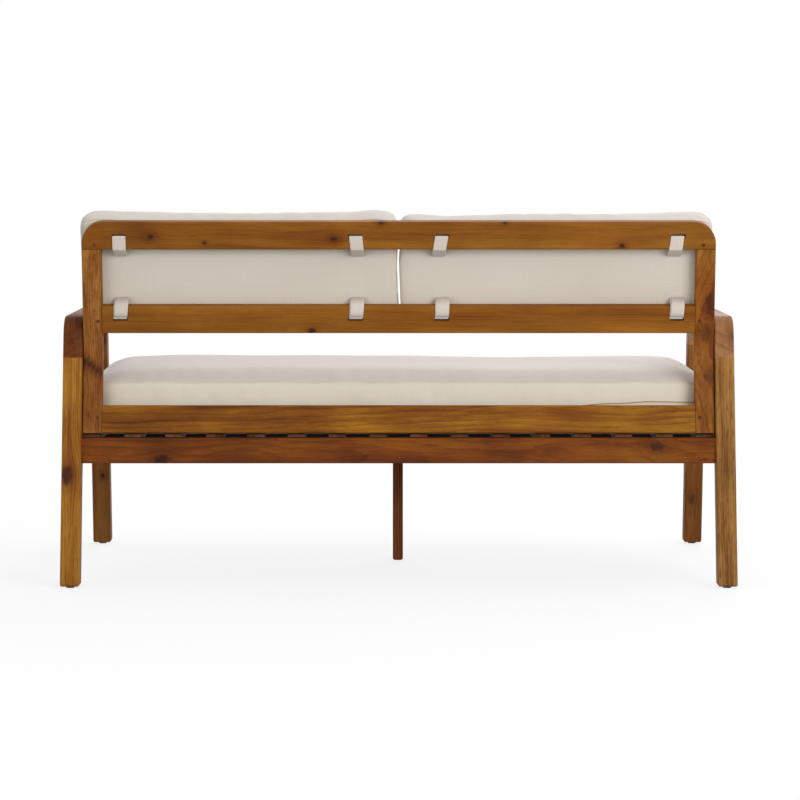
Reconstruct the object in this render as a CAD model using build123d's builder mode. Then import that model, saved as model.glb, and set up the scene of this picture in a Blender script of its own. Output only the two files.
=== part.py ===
from build123d import *
import os
from math import cos, radians, sin, tan

os.makedirs("parts", exist_ok=True)

# Two-seat garden sofa in millimetres: +Z is up and the sitter faces -Y.
# The origin is on the floor under the middle of the sofa.

# Whole sofa
WIDTH = 1320.0
FOOT_SPACING = 700.0  # between the centre lines of front and rear legs, on the floor
ARM_TOP = 526.0
EASE = 4.0  # rounding of every sawn edge of the side frames
PLAY = 0.15  # round a tenon, pin, dowel or screw
OVERRUN = 6.0  # how far a cut runs past the face that it leaves through
SEAM_GAP = 0.3  # between a cushion and what it lies against

# Legs
LEG_WIDTH = 38.0
LEG_DEPTH = 45.0
SPLAY = radians(10.0)
LEG_JOINT_DROP = 84.0  # from the arm's top to the joint, on the leg's centre line
GLIDE_HEIGHT = 4.0
GLIDE_TOP_RADIUS = 9.5
GLIDE_FOOT_RADIUS = 8.0
GLIDE_STEM_RADIUS = 2.5
GLIDE_STEM_LENGTH = 14.0

# Arms
ARM_THICK = 35.0
ARM_OUTER_RADIUS = 45.0
ARM_INNER_RADIUS = 30.0
ARM_CORNER_LENGTH = 112.0
DOWEL_RADIUS = 4.0
DOWEL_LENGTH = 40.0

# Seat frame
ARM_ABOVE_RAIL = 236.4  # from the seat rails' top edge to the arm's top
RAIL_HEIGHT = 50.0
RAIL_THICK = 25.0
RAIL_SETBACK = 4.0  # seat rail behind the leg's outer face, at the rail's top
SIDE_RAIL_THICK = 24.0
SEAT_TENON_HEIGHT = 30.0
SEAT_TENON_THICK = 12.0
SEAT_TENON_LENGTH = 12.0
SEAT_EASE = 3.0

# Slats and what they lie on
SLAT_COUNT = 16
SLAT_SIDE_GAP = 1.5  # from the outer slats to the legs
SLAT_WIDTH = 33.5
SLAT_THICK = 14.0
SLAT_PROUD = 5.0  # slat tops above the seat rails
SLAT_END_GAP = 2.0
SLAT_EASE = 2.0
CLEAT_SIZE = 20.0
BEARER_HEIGHT = 41.0
BEARER_THICK = 22.0
BEARER_HOUSING = 8.0

# Centre leg
CENTRE_LEG_WIDTH = 21.0
CENTRE_LEG_DEPTH = 45.0
CENTRE_LEG_Y = -80.5
CENTRE_LEG_EASE = 5.0
CENTRE_TENON_WIDTH = 12.0
CENTRE_TENON_THICK = 10.0
CENTRE_TENON_LENGTH = 25.0

# Backrest
BACK_CLEAR = 1.0  # between a post and its leg
BACK_THICK = 24.0
BACK_EASE = 3.0
BACK_RAIL_WIDTH = 55.0
BACK_CORNER_RADIUS = 44.0
POST_WIDTH = 38.5
POST_SETBACK = 10.0  # post's rear face in front of the leg's rear face
KNEE_BELOW_ARM = 63.0
KNEE_RADIUS = 150.0
RECLINE = radians(9.5)
BACK_RISE = 253.5  # along the back, from the knee to the top edge
MID_RAIL_RISE = 30.5  # from the knee up to the middle rail
BACK_SLIT = 9.2  # from the seat rail up to the lower edge of the low rail
BACK_TENON_THICK = 10.0
BACK_TENON_LENGTH = 25.0
BACK_TENON_WIDTH = 36.0
POST_TENON_WIDTH = 24.0
POST_TENON_LENGTH = 28.0
PIN_RADIUS = 3.5
PIN_LENGTH = 21.0
PIN_TO_JOINT = 9.0
TOP_PIN_SHIFT = 5.5  # from a post's middle towards the middle of the backrest
MID_PIN_DROP = 3.0
LOW_PIN_RISE = 3.0

# Strap slots and the webbing straps through them
SLOT_WIDTH = 28.0
SLOT_HEIGHT = 6.1
SLOT_DROP = 1.2  # below the middle of the rail
SLOT_SHIFT = 0.75  # towards the edge that its strap goes round
STRAP_WIDTH = 26.0
STRAP_THICK = 1.4
STRAP_GAP = 0.25
TOP_STRAP_REACH = 17.5  # beyond the rail's edge, where a strap turns at the cushion
MID_STRAP_REACH = 11.0
INNER_STRAP_X = 85.0
OUTER_STRAP_INSET = 35.5  # from a post's inner face

# Bolts, nuts and screws
BOLT_RADIUS = 3.0
BOLT_HEAD_RADIUS = 6.0
BOLT_HEAD_HEIGHT = 4.5
BOLT_SINK = 6.0
BOLT_SOCKET = 2.3
BOLT_SOCKET_DEPTH = 2.5
RAIL_BOLT_LENGTH = 76.0
POST_BOLT_LENGTH = 60.0
BOLT_PAST_NUT = 3.0
POST_BOLT_MARGIN = 20.0  # from the low rail and from the leg's joint
NUT_RADIUS = 5.0
NUT_LENGTH = 14.0
SPACER_RADIUS = 8.0
SCREW_RADIUS = 2.0
SCREW_HEAD_RADIUS = 4.0
SCREW_HEAD_HEIGHT = 2.2
SCREW_LENGTH = 30.0
CLEAT_SCREW_LENGTH = 36.0
CLEAT_SCREW_STEP = 3  # slat gaps from one cleat screw to the next

# Cushions
SEAT_CUSHION_SIDE_CLEAR = 2.0  # from the legs
SEAT_CUSHION_OVERHANG = 2.0  # past the front rail
SEAT_CUSHION_REAR_CLEAR = 13.4  # from the backrest, at the cushion's widest
SEAT_CUSHION_THICK = 130.0
SEAT_CUSHION_CORNER = 55.0
SEAT_CUSHION_DRAW = 155.0  # from the seam in to where the crown is flat
BACK_CUSHION_SIDE_CLEAR = 1.5  # from the arms
BACK_CUSHION_ABOVE_RAIL = 5.5  # its upper edge, beyond the top rail's
BACK_CUSHION_BELOW_RAIL = 8.0  # its lower edge, beyond the middle rail's
BACK_CUSHION_THICK = 116.0
BACK_CUSHION_CORNER = 34.0
BACK_CUSHION_DRAW = 78.0
BACK_CUSHION_GAP = 4.0
COVER_THICK = 1.6
FOAM_GAP = 0.3
ZIP_TAB_WIDTH = 8.0
ZIP_TAB_LENGTH = 14.0
ZIP_TAB_THICK = 1.6
ZIP_HOLE_RADIUS = 1.9
ZIP_BODY_WIDTH = 7.0
ZIP_BODY_LENGTH = 11.0
ZIP_BODY_HEIGHT = 3.5
ZIP_INSETS = (24.0, 45.0)  # from the outer end of the left and the right back cushion
ZIP_FORWARD = 22.0  # in front of the cushion's rear face

# Profile shares of a cushion: height share of its thickness, inset share of its draw
SEAT_PROFILE_SHARES = (
    (0.0, 0.20), (0.03, 0.10), (0.09, 0.045), (0.20, 0.018), (0.33, 0.004), (0.45, 0.0),
    (0.57, 0.012), (0.68, 0.045), (0.77, 0.09), (0.85, 0.18), (0.92, 0.31), (0.965, 0.48),
    (0.99, 0.70), (1.0, 1.0),
)
BACK_PROFILE_SHARES = (
    (0.0, 0.26), (0.02, 0.17), (0.07, 0.09), (0.16, 0.04), (0.30, 0.01), (0.45, 0.0),
    (0.58, 0.01), (0.70, 0.05), (0.80, 0.12), (0.88, 0.23), (0.94, 0.40), (0.98, 0.66),
    (1.0, 1.0),
)
CORNER_GROWTH_SHARE = 0.55  # how much of a section's inset its corners gain in radius
CORNER_LIMIT_SHARE = 0.45  # the largest corner radius, of a section's shorter side

# Derived places
LEG_X = WIDTH / 2 - LEG_WIDTH / 2
INNER_X = WIDTH / 2 - LEG_WIDTH
LEG_JOINT_HEIGHT = ARM_TOP - LEG_JOINT_DROP
RAIL_TOP = ARM_TOP - ARM_ABOVE_RAIL
RAIL_BOTTOM = RAIL_TOP - RAIL_HEIGHT
RAIL_MIDDLE = RAIL_TOP - RAIL_HEIGHT / 2
SLAT_TOP = RAIL_TOP + SLAT_PROUD
SLAT_BOTTOM = SLAT_TOP - SLAT_THICK
SLAT_PITCH = (2 * (INNER_X - SLAT_SIDE_GAP) - SLAT_WIDTH) / (SLAT_COUNT - 1)
BACK_HALF_WIDTH = INNER_X - BACK_CLEAR
POST_X = BACK_HALF_WIDTH - POST_WIDTH / 2
POST_INNER_X = BACK_HALF_WIDTH - POST_WIDTH
ENDS = (("rear", 1), ("front", -1))
HANDS = (("left", 1), ("right", -1))


def leg_y(height, across):
    """Y of a line along a rear leg at a height, across millimetres outside its centre line."""
    return FOOT_SPACING / 2 - height * tan(SPLAY) + across / cos(SPLAY)


def leg_point(along, across):
    """Y and Z of a point of a rear leg, from the middle of its joint with the arm corner."""
    y = leg_y(LEG_JOINT_HEIGHT, 0) - along * sin(SPLAY) + across * cos(SPLAY)
    return y, LEG_JOINT_HEIGHT + along * cos(SPLAY) + across * sin(SPLAY)


RAIL_OUTER_Y = leg_y(RAIL_TOP, LEG_DEPTH / 2) - RAIL_SETBACK
RAIL_INNER_Y = RAIL_OUTER_Y - RAIL_THICK
RAIL_Y = RAIL_OUTER_Y - RAIL_THICK / 2
ARM_END_Y = leg_y(ARM_TOP, LEG_DEPTH / 2)
ARM_JOINT_Y = ARM_END_Y - ARM_CORNER_LENGTH
KNEE_HEIGHT = ARM_TOP - KNEE_BELOW_ARM
KNEE_Y = leg_y(KNEE_HEIGHT, LEG_DEPTH / 2 - POST_SETBACK)
SLAT_END_Y = RAIL_INNER_Y - SLAT_END_GAP
SCREW_Y = RAIL_INNER_Y - CLEAT_SIZE / 2
BOLT_HEAD_X = WIDTH / 2 - BOLT_SINK
RAIL_NUT_X = BOLT_HEAD_X - RAIL_BOLT_LENGTH + BOLT_PAST_NUT + NUT_RADIUS
POST_NUT_X = BOLT_HEAD_X - POST_BOLT_LENGTH + BOLT_PAST_NUT + NUT_RADIUS
STRAP_XS = (INNER_STRAP_X, POST_INNER_X - OUTER_STRAP_INSET)

# Rear faces of the backrest above and below its knee: local y runs up, local z forward
UPPER_BACK = Plane((0, KNEE_Y, KNEE_HEIGHT), x_dir=(1, 0, 0), z_dir=(0, -cos(RECLINE), sin(RECLINE)))
LOWER_BACK = Plane((0, KNEE_Y, KNEE_HEIGHT), x_dir=(1, 0, 0), z_dir=(0, -cos(SPLAY), -sin(SPLAY)))
MID_RAIL_SPAN = (MID_RAIL_RISE, MID_RAIL_RISE + BACK_RAIL_WIDTH)
TOP_RAIL_SPAN = (BACK_RISE - BACK_RAIL_WIDTH, BACK_RISE)
LOW_RAIL_DROP = (KNEE_HEIGHT - RAIL_TOP - BACK_SLIT) / cos(SPLAY)
LOW_RAIL_SPAN = (-LOW_RAIL_DROP, -LOW_RAIL_DROP + BACK_RAIL_WIDTH)
POST_BOLT_HEIGHTS = (
    KNEE_HEIGHT + LOW_RAIL_SPAN[1] * cos(SPLAY) + POST_BOLT_MARGIN,
    leg_point(0, -LEG_DEPTH / 2)[1] - POST_BOLT_MARGIN,
)


def middle(span):
    return (span[0] + span[1]) / 2


def around(centre, width):
    return centre - width / 2, centre + width / 2


def block(plane, x_span, y_span, z_span, mode=Mode.ADD):
    """A box in a plane's own axes, from the low and high end along each."""
    spans = (x_span, y_span, z_span)
    centre = plane.from_local_coords(tuple(middle(span) for span in spans))
    with Locations(Plane(centre, x_dir=plane.x_dir, z_dir=plane.z_dir)):
        Box(*(abs(span[1] - span[0]) for span in spans), mode=mode)


def rod(start, direction, radius, length, mode=Mode.ADD):
    """A round bar or bore from a start point."""
    with Locations(Plane(start, z_dir=direction)):
        Cylinder(radius, length, align=(Align.CENTER, Align.CENTER, Align.MIN), mode=mode)


def keep(piece, name):
    """Label a finished piece and write it."""
    piece.part.label = name
    export_step(piece.part, f"parts/{name}.step")


def side_faces_edges(piece, joint_faces):
    """The edges round both X faces of a side frame piece, but for those of its joint faces."""
    return piece.faces().filter_by(Axis.X).edges() - joint_faces.edges()


def bolt_bore(hand, y, height, length):
    """Cut a bolt's counterbore and bore from the outer side of a leg."""
    head_start = (hand * (WIDTH / 2 + OVERRUN), y, height)
    rod(head_start, (-hand, 0, 0), BOLT_HEAD_RADIUS + PLAY, BOLT_SINK + OVERRUN, Mode.SUBTRACT)
    rod((hand * BOLT_HEAD_X, y, height), (-hand, 0, 0), BOLT_RADIUS + PLAY, length, Mode.SUBTRACT)


def flip(end, points):
    """Mirror side-view points for the front."""
    return [(end * y, z) for y, z in points]


# Legs: sawn level at the foot and square to their own length at the arm joint
for end_name, end in ENDS:
    for hand_name, hand in HANDS:
        foot = [(leg_y(GLIDE_HEIGHT, across), GLIDE_HEIGHT) for across in (LEG_DEPTH / 2, -LEG_DEPTH / 2)]
        top = [leg_point(0, -LEG_DEPTH / 2), leg_point(0, LEG_DEPTH / 2)]
        with BuildPart() as leg:
            with BuildSketch(Plane.YZ.offset(hand * LEG_X - LEG_WIDTH / 2)):
                with BuildLine():
                    Polyline(*flip(end, foot + top), close=True)
                make_face()
            extrude(amount=LEG_WIDTH)
            joint_face = leg.faces().sort_by(Axis.Z)[-1]
            fillet(leg.edges() - joint_face.edges(), EASE)
            # Mortises for the side rail's and the seat rail's tenons
            tenon_z = around(RAIL_MIDDLE, SEAT_TENON_HEIGHT + 2 * PLAY)
            tenon_y = leg_y(RAIL_MIDDLE, -LEG_DEPTH / 2) + SEAT_TENON_LENGTH + PLAY
            block(
                Plane.XY,
                around(hand * LEG_X, SEAT_TENON_THICK + 2 * PLAY),
                (end * (tenon_y - LEG_DEPTH / 2), end * tenon_y),
                tenon_z,
                Mode.SUBTRACT,
            )
            block(
                Plane.XY,
                (hand * (INNER_X - OVERRUN), hand * (INNER_X + SEAT_TENON_LENGTH + PLAY)),
                around(end * RAIL_Y, SEAT_TENON_THICK + 2 * PLAY),
                tenon_z,
                Mode.SUBTRACT,
            )
            bolt_bore(hand, end * RAIL_Y, RAIL_MIDDLE, LEG_WIDTH)
            if end_name == "rear":
                for height in POST_BOLT_HEIGHTS:
                    bolt_bore(hand, leg_y(height, 0), height, LEG_WIDTH)
            # Bores for the glide's stem and for the dowel into the arm corner
            foot_y = leg_y(GLIDE_HEIGHT, 0)
            rod(
                (hand * LEG_X, end * foot_y, 0),
                (0, 0, 1),
                GLIDE_STEM_RADIUS + PLAY,
                GLIDE_HEIGHT + GLIDE_STEM_LENGTH + PLAY,
                Mode.SUBTRACT,
            )
            dowel_y, dowel_z = leg_point(-DOWEL_LENGTH / 2 - PLAY, 0)
            rod(
                (hand * LEG_X, end * dowel_y, dowel_z),
                (0, -end * sin(SPLAY), cos(SPLAY)),
                DOWEL_RADIUS + PLAY,
                DOWEL_LENGTH,
                Mode.SUBTRACT,
            )
        keep(leg, f"{end_name}_leg_{hand_name}")

# Arm corners: the bent end of an arm, standing on the leg
for end_name, end in ENDS:
    for hand_name, hand in HANDS:
        outline = [
            leg_point(0, LEG_DEPTH / 2),
            (ARM_END_Y, ARM_TOP),
            (ARM_JOINT_Y, ARM_TOP),
            (ARM_JOINT_Y, ARM_TOP - ARM_THICK),
            (leg_y(ARM_TOP - ARM_THICK, -LEG_DEPTH / 2), ARM_TOP - ARM_THICK),
            leg_point(0, -LEG_DEPTH / 2),
        ]
        corner_points = flip(end, outline)
        with BuildPart() as arm_corner:
            with BuildSketch(Plane.YZ.offset(hand * LEG_X - LEG_WIDTH / 2)) as profile:
                with BuildLine():
                    Polyline(*corner_points, close=True)
                make_face()
                fillet(profile.vertices().sort_by_distance((*corner_points[1], 0))[0], ARM_OUTER_RADIUS)
                fillet(profile.vertices().sort_by_distance((*corner_points[4], 0))[0], ARM_INNER_RADIUS)
            extrude(amount=LEG_WIDTH)
            leg_joint = arm_corner.faces().sort_by(Axis.Z)[:1]
            arm_joint = arm_corner.faces().filter_by(Axis.Y)
            fillet(side_faces_edges(arm_corner, leg_joint + arm_joint), EASE)
            dowel_y, dowel_z = leg_point(DOWEL_LENGTH / 2 + PLAY, 0)
            rod(
                (hand * LEG_X, end * dowel_y, dowel_z),
                (0, end * sin(SPLAY), -cos(SPLAY)),
                DOWEL_RADIUS + PLAY,
                DOWEL_LENGTH,
                Mode.SUBTRACT,
            )
            rod(
                (hand * LEG_X, end * (ARM_JOINT_Y + DOWEL_LENGTH / 2 + PLAY), ARM_TOP - ARM_THICK / 2),
                (0, -end, 0),
                DOWEL_RADIUS + PLAY,
                DOWEL_LENGTH,
                Mode.SUBTRACT,
            )
        keep(arm_corner, f"arm_corner_{end_name}_{hand_name}")

# Arm rails: the level bars between the arm corners
for hand_name, hand in HANDS:
    with BuildPart() as arm_rail:
        arm_x = around(hand * LEG_X, LEG_WIDTH)
        block(Plane.XY, arm_x, (-ARM_JOINT_Y, ARM_JOINT_Y), (ARM_TOP - ARM_THICK, ARM_TOP))
        fillet(arm_rail.edges().filter_by(Axis.Y), EASE)
        for end_name, end in ENDS:
            rod(
                (hand * LEG_X, end * (ARM_JOINT_Y - DOWEL_LENGTH / 2 - PLAY), ARM_TOP - ARM_THICK / 2),
                (0, end, 0),
                DOWEL_RADIUS + PLAY,
                DOWEL_LENGTH,
                Mode.SUBTRACT,
            )
    keep(arm_rail, f"arm_rail_{hand_name}")

with BuildPart() as arm_dowels:
    for end_name, end in ENDS:
        for hand_name, hand in HANDS:
            dowel_y, dowel_z = leg_point(-DOWEL_LENGTH / 2, 0)
            rod(
                (hand * LEG_X, end * dowel_y, dowel_z),
                (0, -end * sin(SPLAY), cos(SPLAY)),
                DOWEL_RADIUS,
                DOWEL_LENGTH,
            )
            rod(
                (hand * LEG_X, end * (ARM_JOINT_Y - DOWEL_LENGTH / 2), ARM_TOP - ARM_THICK / 2),
                (0, end, 0),
                DOWEL_RADIUS,
                DOWEL_LENGTH,
            )
keep(arm_dowels, "arm_dowels")

# Glides: tapered discs under the legs, each on a stem
with BuildPart() as leg_glides:
    for end_name, end in ENDS:
        for hand_name, hand in HANDS:
            foot_y = end * leg_y(GLIDE_HEIGHT, 0)
            with Locations((hand * LEG_X, foot_y, 0)):
                Cone(
                    GLIDE_FOOT_RADIUS,
                    GLIDE_TOP_RADIUS,
                    GLIDE_HEIGHT,
                    align=(Align.CENTER, Align.CENTER, Align.MIN),
                )
            rod((hand * LEG_X, foot_y, GLIDE_HEIGHT), (0, 0, 1), GLIDE_STEM_RADIUS, GLIDE_STEM_LENGTH)
keep(leg_glides, "leg_glides")

# Side rails: tenoned between the front and rear legs, housed for the middle bearer
for hand_name, hand in HANDS:
    with BuildPart() as side_rail:
        rail_ends = [(leg_y(z, -LEG_DEPTH / 2), z) for z in (RAIL_BOTTOM, RAIL_TOP)]
        far_ends = [(-y, z) for y, z in reversed(rail_ends)]
        with BuildSketch(Plane.YZ.offset(hand * LEG_X - SIDE_RAIL_THICK / 2)):
            with BuildLine():
                Polyline(*rail_ends, *far_ends, close=True)
            make_face()
        extrude(amount=SIDE_RAIL_THICK)
        fillet(side_rail.edges().filter_by(Axis.Y), SEAT_EASE)
        tenon_end = leg_y(RAIL_MIDDLE, -LEG_DEPTH / 2) + SEAT_TENON_LENGTH
        block(
            Plane.XY,
            around(hand * LEG_X, SEAT_TENON_THICK),
            (-tenon_end, tenon_end),
            around(RAIL_MIDDLE, SEAT_TENON_HEIGHT),
        )
        inner_face = hand * (LEG_X - SIDE_RAIL_THICK / 2)
        block(
            Plane.XY,
            (inner_face - hand * OVERRUN, inner_face + hand * (BEARER_HOUSING + PLAY)),
            around(CENTRE_LEG_Y, BEARER_THICK + 2 * PLAY),
            around(SLAT_BOTTOM - BEARER_HEIGHT / 2, BEARER_HEIGHT + 2 * PLAY),
            Mode.SUBTRACT,
        )
    keep(side_rail, f"side_rail_{hand_name}")


def slat_xs():
    first = -SLAT_PITCH * (SLAT_COUNT - 1) / 2
    return [first + SLAT_PITCH * index for index in range(SLAT_COUNT)]


def cleat_screw_xs():
    """Every third gap between slats."""
    gaps = [middle(pair) for pair in zip(slat_xs(), slat_xs()[1:])]
    return gaps[1::CLEAT_SCREW_STEP]


# Seat rails and their cleats, bolted and tenoned between the legs
CLEAT_Z = (SLAT_BOTTOM - CLEAT_SIZE, SLAT_BOTTOM)
CLEAT_SCREW_START = RAIL_INNER_Y - CLEAT_SIZE
for end_name, end in ENDS:
    with BuildPart() as seat_rail:
        rail_y = (end * RAIL_INNER_Y, end * RAIL_OUTER_Y)
        block(Plane.XY, (-INNER_X, INNER_X), rail_y, (RAIL_BOTTOM, RAIL_TOP))
        fillet(seat_rail.edges().filter_by(Axis.X), SEAT_EASE)
        tenon_x = INNER_X + SEAT_TENON_LENGTH
        block(
            Plane.XY,
            (-tenon_x, tenon_x),
            around(end * RAIL_Y, SEAT_TENON_THICK),
            around(RAIL_MIDDLE, SEAT_TENON_HEIGHT),
        )
        for hand_name, hand in HANDS:
            bolt_bore(hand, end * RAIL_Y, RAIL_MIDDLE, RAIL_BOLT_LENGTH + PLAY)
            rod(
                (hand * RAIL_NUT_X, end * RAIL_Y, RAIL_BOTTOM - OVERRUN),
                (0, 0, 1),
                NUT_RADIUS + PLAY,
                OVERRUN + RAIL_HEIGHT / 2 + NUT_LENGTH / 2 + PLAY,
                Mode.SUBTRACT,
            )
        for x in cleat_screw_xs():
            rod(
                (x, end * RAIL_INNER_Y, middle(CLEAT_Z)),
                (0, end, 0),
                SCREW_RADIUS + PLAY,
                CLEAT_SCREW_LENGTH - CLEAT_SIZE + PLAY,
                Mode.SUBTRACT,
            )
    keep(seat_rail, f"seat_{end_name}_rail")
    with BuildPart() as cleat:
        cleat_y = (end * (RAIL_INNER_Y - CLEAT_SIZE), end * RAIL_INNER_Y)
        block(Plane.XY, (-INNER_X, INNER_X), cleat_y, CLEAT_Z)
        for x in slat_xs():
            rod(
                (x, end * SCREW_Y, SLAT_BOTTOM),
                (0, 0, -1),
                SCREW_RADIUS + PLAY,
                SCREW_LENGTH - SLAT_THICK + PLAY,
                Mode.SUBTRACT,
            )
        for x in cleat_screw_xs():
            with Locations(Plane((x, end * CLEAT_SCREW_START, middle(CLEAT_Z)), z_dir=(0, -end, 0))):
                CounterSinkHole(SCREW_RADIUS + PLAY, SCREW_HEAD_RADIUS + PLAY, CLEAT_SIZE)
    keep(cleat, f"slat_cleat_{end_name}")

# Middle bearer: runs the width under the slats and is housed in the side rails
with BuildPart() as middle_bearer:
    bearer_x = LEG_X - SIDE_RAIL_THICK / 2 + BEARER_HOUSING
    bearer_z = (SLAT_BOTTOM - BEARER_HEIGHT, SLAT_BOTTOM)
    block(Plane.XY, (-bearer_x, bearer_x), around(CENTRE_LEG_Y, BEARER_THICK), bearer_z)
    block(
        Plane.XY,
        around(0, CENTRE_TENON_WIDTH + 2 * PLAY),
        around(CENTRE_LEG_Y, CENTRE_TENON_THICK + 2 * PLAY),
        (bearer_z[0] - OVERRUN, bearer_z[0] + CENTRE_TENON_LENGTH + PLAY),
        Mode.SUBTRACT,
    )
keep(middle_bearer, "middle_bearer")

with BuildPart() as centre_leg:
    leg_top = SLAT_BOTTOM - BEARER_HEIGHT
    block(Plane.XY, around(0, CENTRE_LEG_WIDTH), around(CENTRE_LEG_Y, CENTRE_LEG_DEPTH), (0, leg_top))
    fillet(centre_leg.edges() - centre_leg.faces().sort_by(Axis.Z)[-1].edges(), CENTRE_LEG_EASE)
    block(
        Plane.XY,
        around(0, CENTRE_TENON_WIDTH),
        around(CENTRE_LEG_Y, CENTRE_TENON_THICK),
        (leg_top, leg_top + CENTRE_TENON_LENGTH),
    )
keep(centre_leg, "centre_leg")

# Seat slats: run front to back, screwed down to both cleats
for index, x in enumerate(slat_xs()):
    with BuildPart() as slat:
        block(Plane.XY, around(x, SLAT_WIDTH), (-SLAT_END_Y, SLAT_END_Y), (SLAT_BOTTOM, SLAT_TOP))
        fillet(slat.edges().filter_by(Axis.Y), SLAT_EASE)
        with Locations((x, SCREW_Y, SLAT_TOP), (x, -SCREW_Y, SLAT_TOP)):
            CounterSinkHole(SCREW_RADIUS + PLAY, SCREW_HEAD_RADIUS + PLAY, SLAT_THICK)
    keep(slat, f"slat_{index + 1:02d}")


def screw(start, direction, length):
    """A countersunk screw from the middle of its head."""
    with Locations(Plane(start, z_dir=direction)):
        Cone(
            SCREW_HEAD_RADIUS,
            SCREW_RADIUS,
            SCREW_HEAD_HEIGHT,
            align=(Align.CENTER, Align.CENTER, Align.MIN),
        )
        Cylinder(SCREW_RADIUS, length, align=(Align.CENTER, Align.CENTER, Align.MIN))


with BuildPart() as slat_screws:
    for x in slat_xs():
        for end_name, end in ENDS:
            screw((x, end * SCREW_Y, SLAT_TOP - PLAY), (0, 0, -1), SCREW_LENGTH - PLAY)
keep(slat_screws, "slat_screws")

with BuildPart() as cleat_screws:
    for x in cleat_screw_xs():
        for end_name, end in ENDS:
            start = (x, end * (CLEAT_SCREW_START + PLAY), middle(CLEAT_Z))
            screw(start, (0, end, 0), CLEAT_SCREW_LENGTH - PLAY)
keep(cleat_screws, "cleat_screws")


def slot_centre(span, direction):
    """Y and Z of a strap slot, near the middle of a rail of the upper back."""
    centre = UPPER_BACK.from_local_coords((0, middle(span), BACK_THICK / 2))
    return centre.Y, centre.Z - SLOT_DROP + direction * SLOT_SHIFT


def cut_slots(span, direction):
    """Cut a back rail's four level strap slots, for straps round the edge that direction names."""
    y, z = slot_centre(span, direction)
    for x in STRAP_XS:
        for hand_name, hand in HANDS:
            block(
                Plane.XY,
                around(hand * x, SLOT_WIDTH),
                around(y, 2 * BACK_THICK),
                around(z, SLOT_HEIGHT),
                Mode.SUBTRACT,
            )


def pin_bore(plane, x, up):
    """Cut a tenon pin's bore from the rear face of the backrest."""
    start = plane.from_local_coords((x, up, -OVERRUN))
    rod(start, plane.z_dir, PIN_RADIUS + PLAY, OVERRUN + PIN_LENGTH + PLAY, Mode.SUBTRACT)


TENON_FORWARD = around(BACK_THICK / 2, BACK_TENON_THICK)
MORTISE_FORWARD = around(BACK_THICK / 2, BACK_TENON_THICK + 2 * PLAY)
CROSS_RAILS = (
    ("back_mid_rail", UPPER_BACK, MID_RAIL_SPAN, middle(MID_RAIL_SPAN) - MID_PIN_DROP),
    ("back_low_rail", LOWER_BACK, LOW_RAIL_SPAN, middle(LOW_RAIL_SPAN) + LOW_PIN_RISE),
)
TOP_PIN_UP = TOP_RAIL_SPAN[0] + PIN_TO_JOINT
TOP_PIN_X = POST_X - TOP_PIN_SHIFT
PIN_X = POST_INNER_X + PIN_TO_JOINT

# Back posts: bent boards whose tenons stand up into the top rail
KNEE_TURN = tan((RECLINE + SPLAY) / 2)
POST_SIDE_POINTS = [
    LOWER_BACK.from_local_coords((0, LOW_RAIL_SPAN[0], 0)),
    UPPER_BACK.from_local_coords((0, 0, 0)),
    UPPER_BACK.from_local_coords((0, TOP_RAIL_SPAN[0], 0)),
    UPPER_BACK.from_local_coords((0, TOP_RAIL_SPAN[0], BACK_THICK)),
    UPPER_BACK.from_local_coords((0, -BACK_THICK * KNEE_TURN, BACK_THICK)),
    LOWER_BACK.from_local_coords((0, LOW_RAIL_SPAN[0], BACK_THICK)),
]
for hand_name, hand in HANDS:
    with BuildPart() as back_post:
        with BuildSketch(Plane.YZ.offset(hand * POST_X - POST_WIDTH / 2)) as profile:
            with BuildLine():
                Polyline(*((point.Y, point.Z) for point in POST_SIDE_POINTS), close=True)
            make_face()
            for point, radius in (
                (POST_SIDE_POINTS[1], KNEE_RADIUS),
                (POST_SIDE_POINTS[4], KNEE_RADIUS + BACK_THICK),
            ):
                fillet(profile.vertices().sort_by_distance((point.Y, point.Z, 0))[0], radius)
        extrude(amount=POST_WIDTH)
        top_joint = back_post.faces().sort_by(Axis.Z)[-1:]
        fillet(side_faces_edges(back_post, top_joint), BACK_EASE)
        block(
            UPPER_BACK,
            around(hand * POST_X, POST_TENON_WIDTH),
            (TOP_RAIL_SPAN[0], TOP_RAIL_SPAN[0] + POST_TENON_LENGTH),
            TENON_FORWARD,
        )
        for rail_name, plane, span, pin_up in CROSS_RAILS:
            block(
                plane,
                (hand * (POST_INNER_X - OVERRUN), hand * (POST_INNER_X + BACK_TENON_LENGTH + PLAY)),
                around(middle(span), BACK_TENON_WIDTH + 2 * PLAY),
                MORTISE_FORWARD,
                Mode.SUBTRACT,
            )
            pin_bore(plane, hand * PIN_X, pin_up)
        pin_bore(UPPER_BACK, hand * TOP_PIN_X, TOP_PIN_UP)
        for height in POST_BOLT_HEIGHTS:
            bolt_bore(hand, leg_y(height, 0), height, POST_BOLT_LENGTH + PLAY)
            rod(
                (hand * POST_NUT_X, leg_y(height, 0) + NUT_LENGTH / 2 + PLAY, height),
                (0, -1, 0),
                NUT_RADIUS + PLAY,
                BACK_THICK + NUT_LENGTH,
                Mode.SUBTRACT,
            )
    keep(back_post, f"back_post_{hand_name}")

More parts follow.
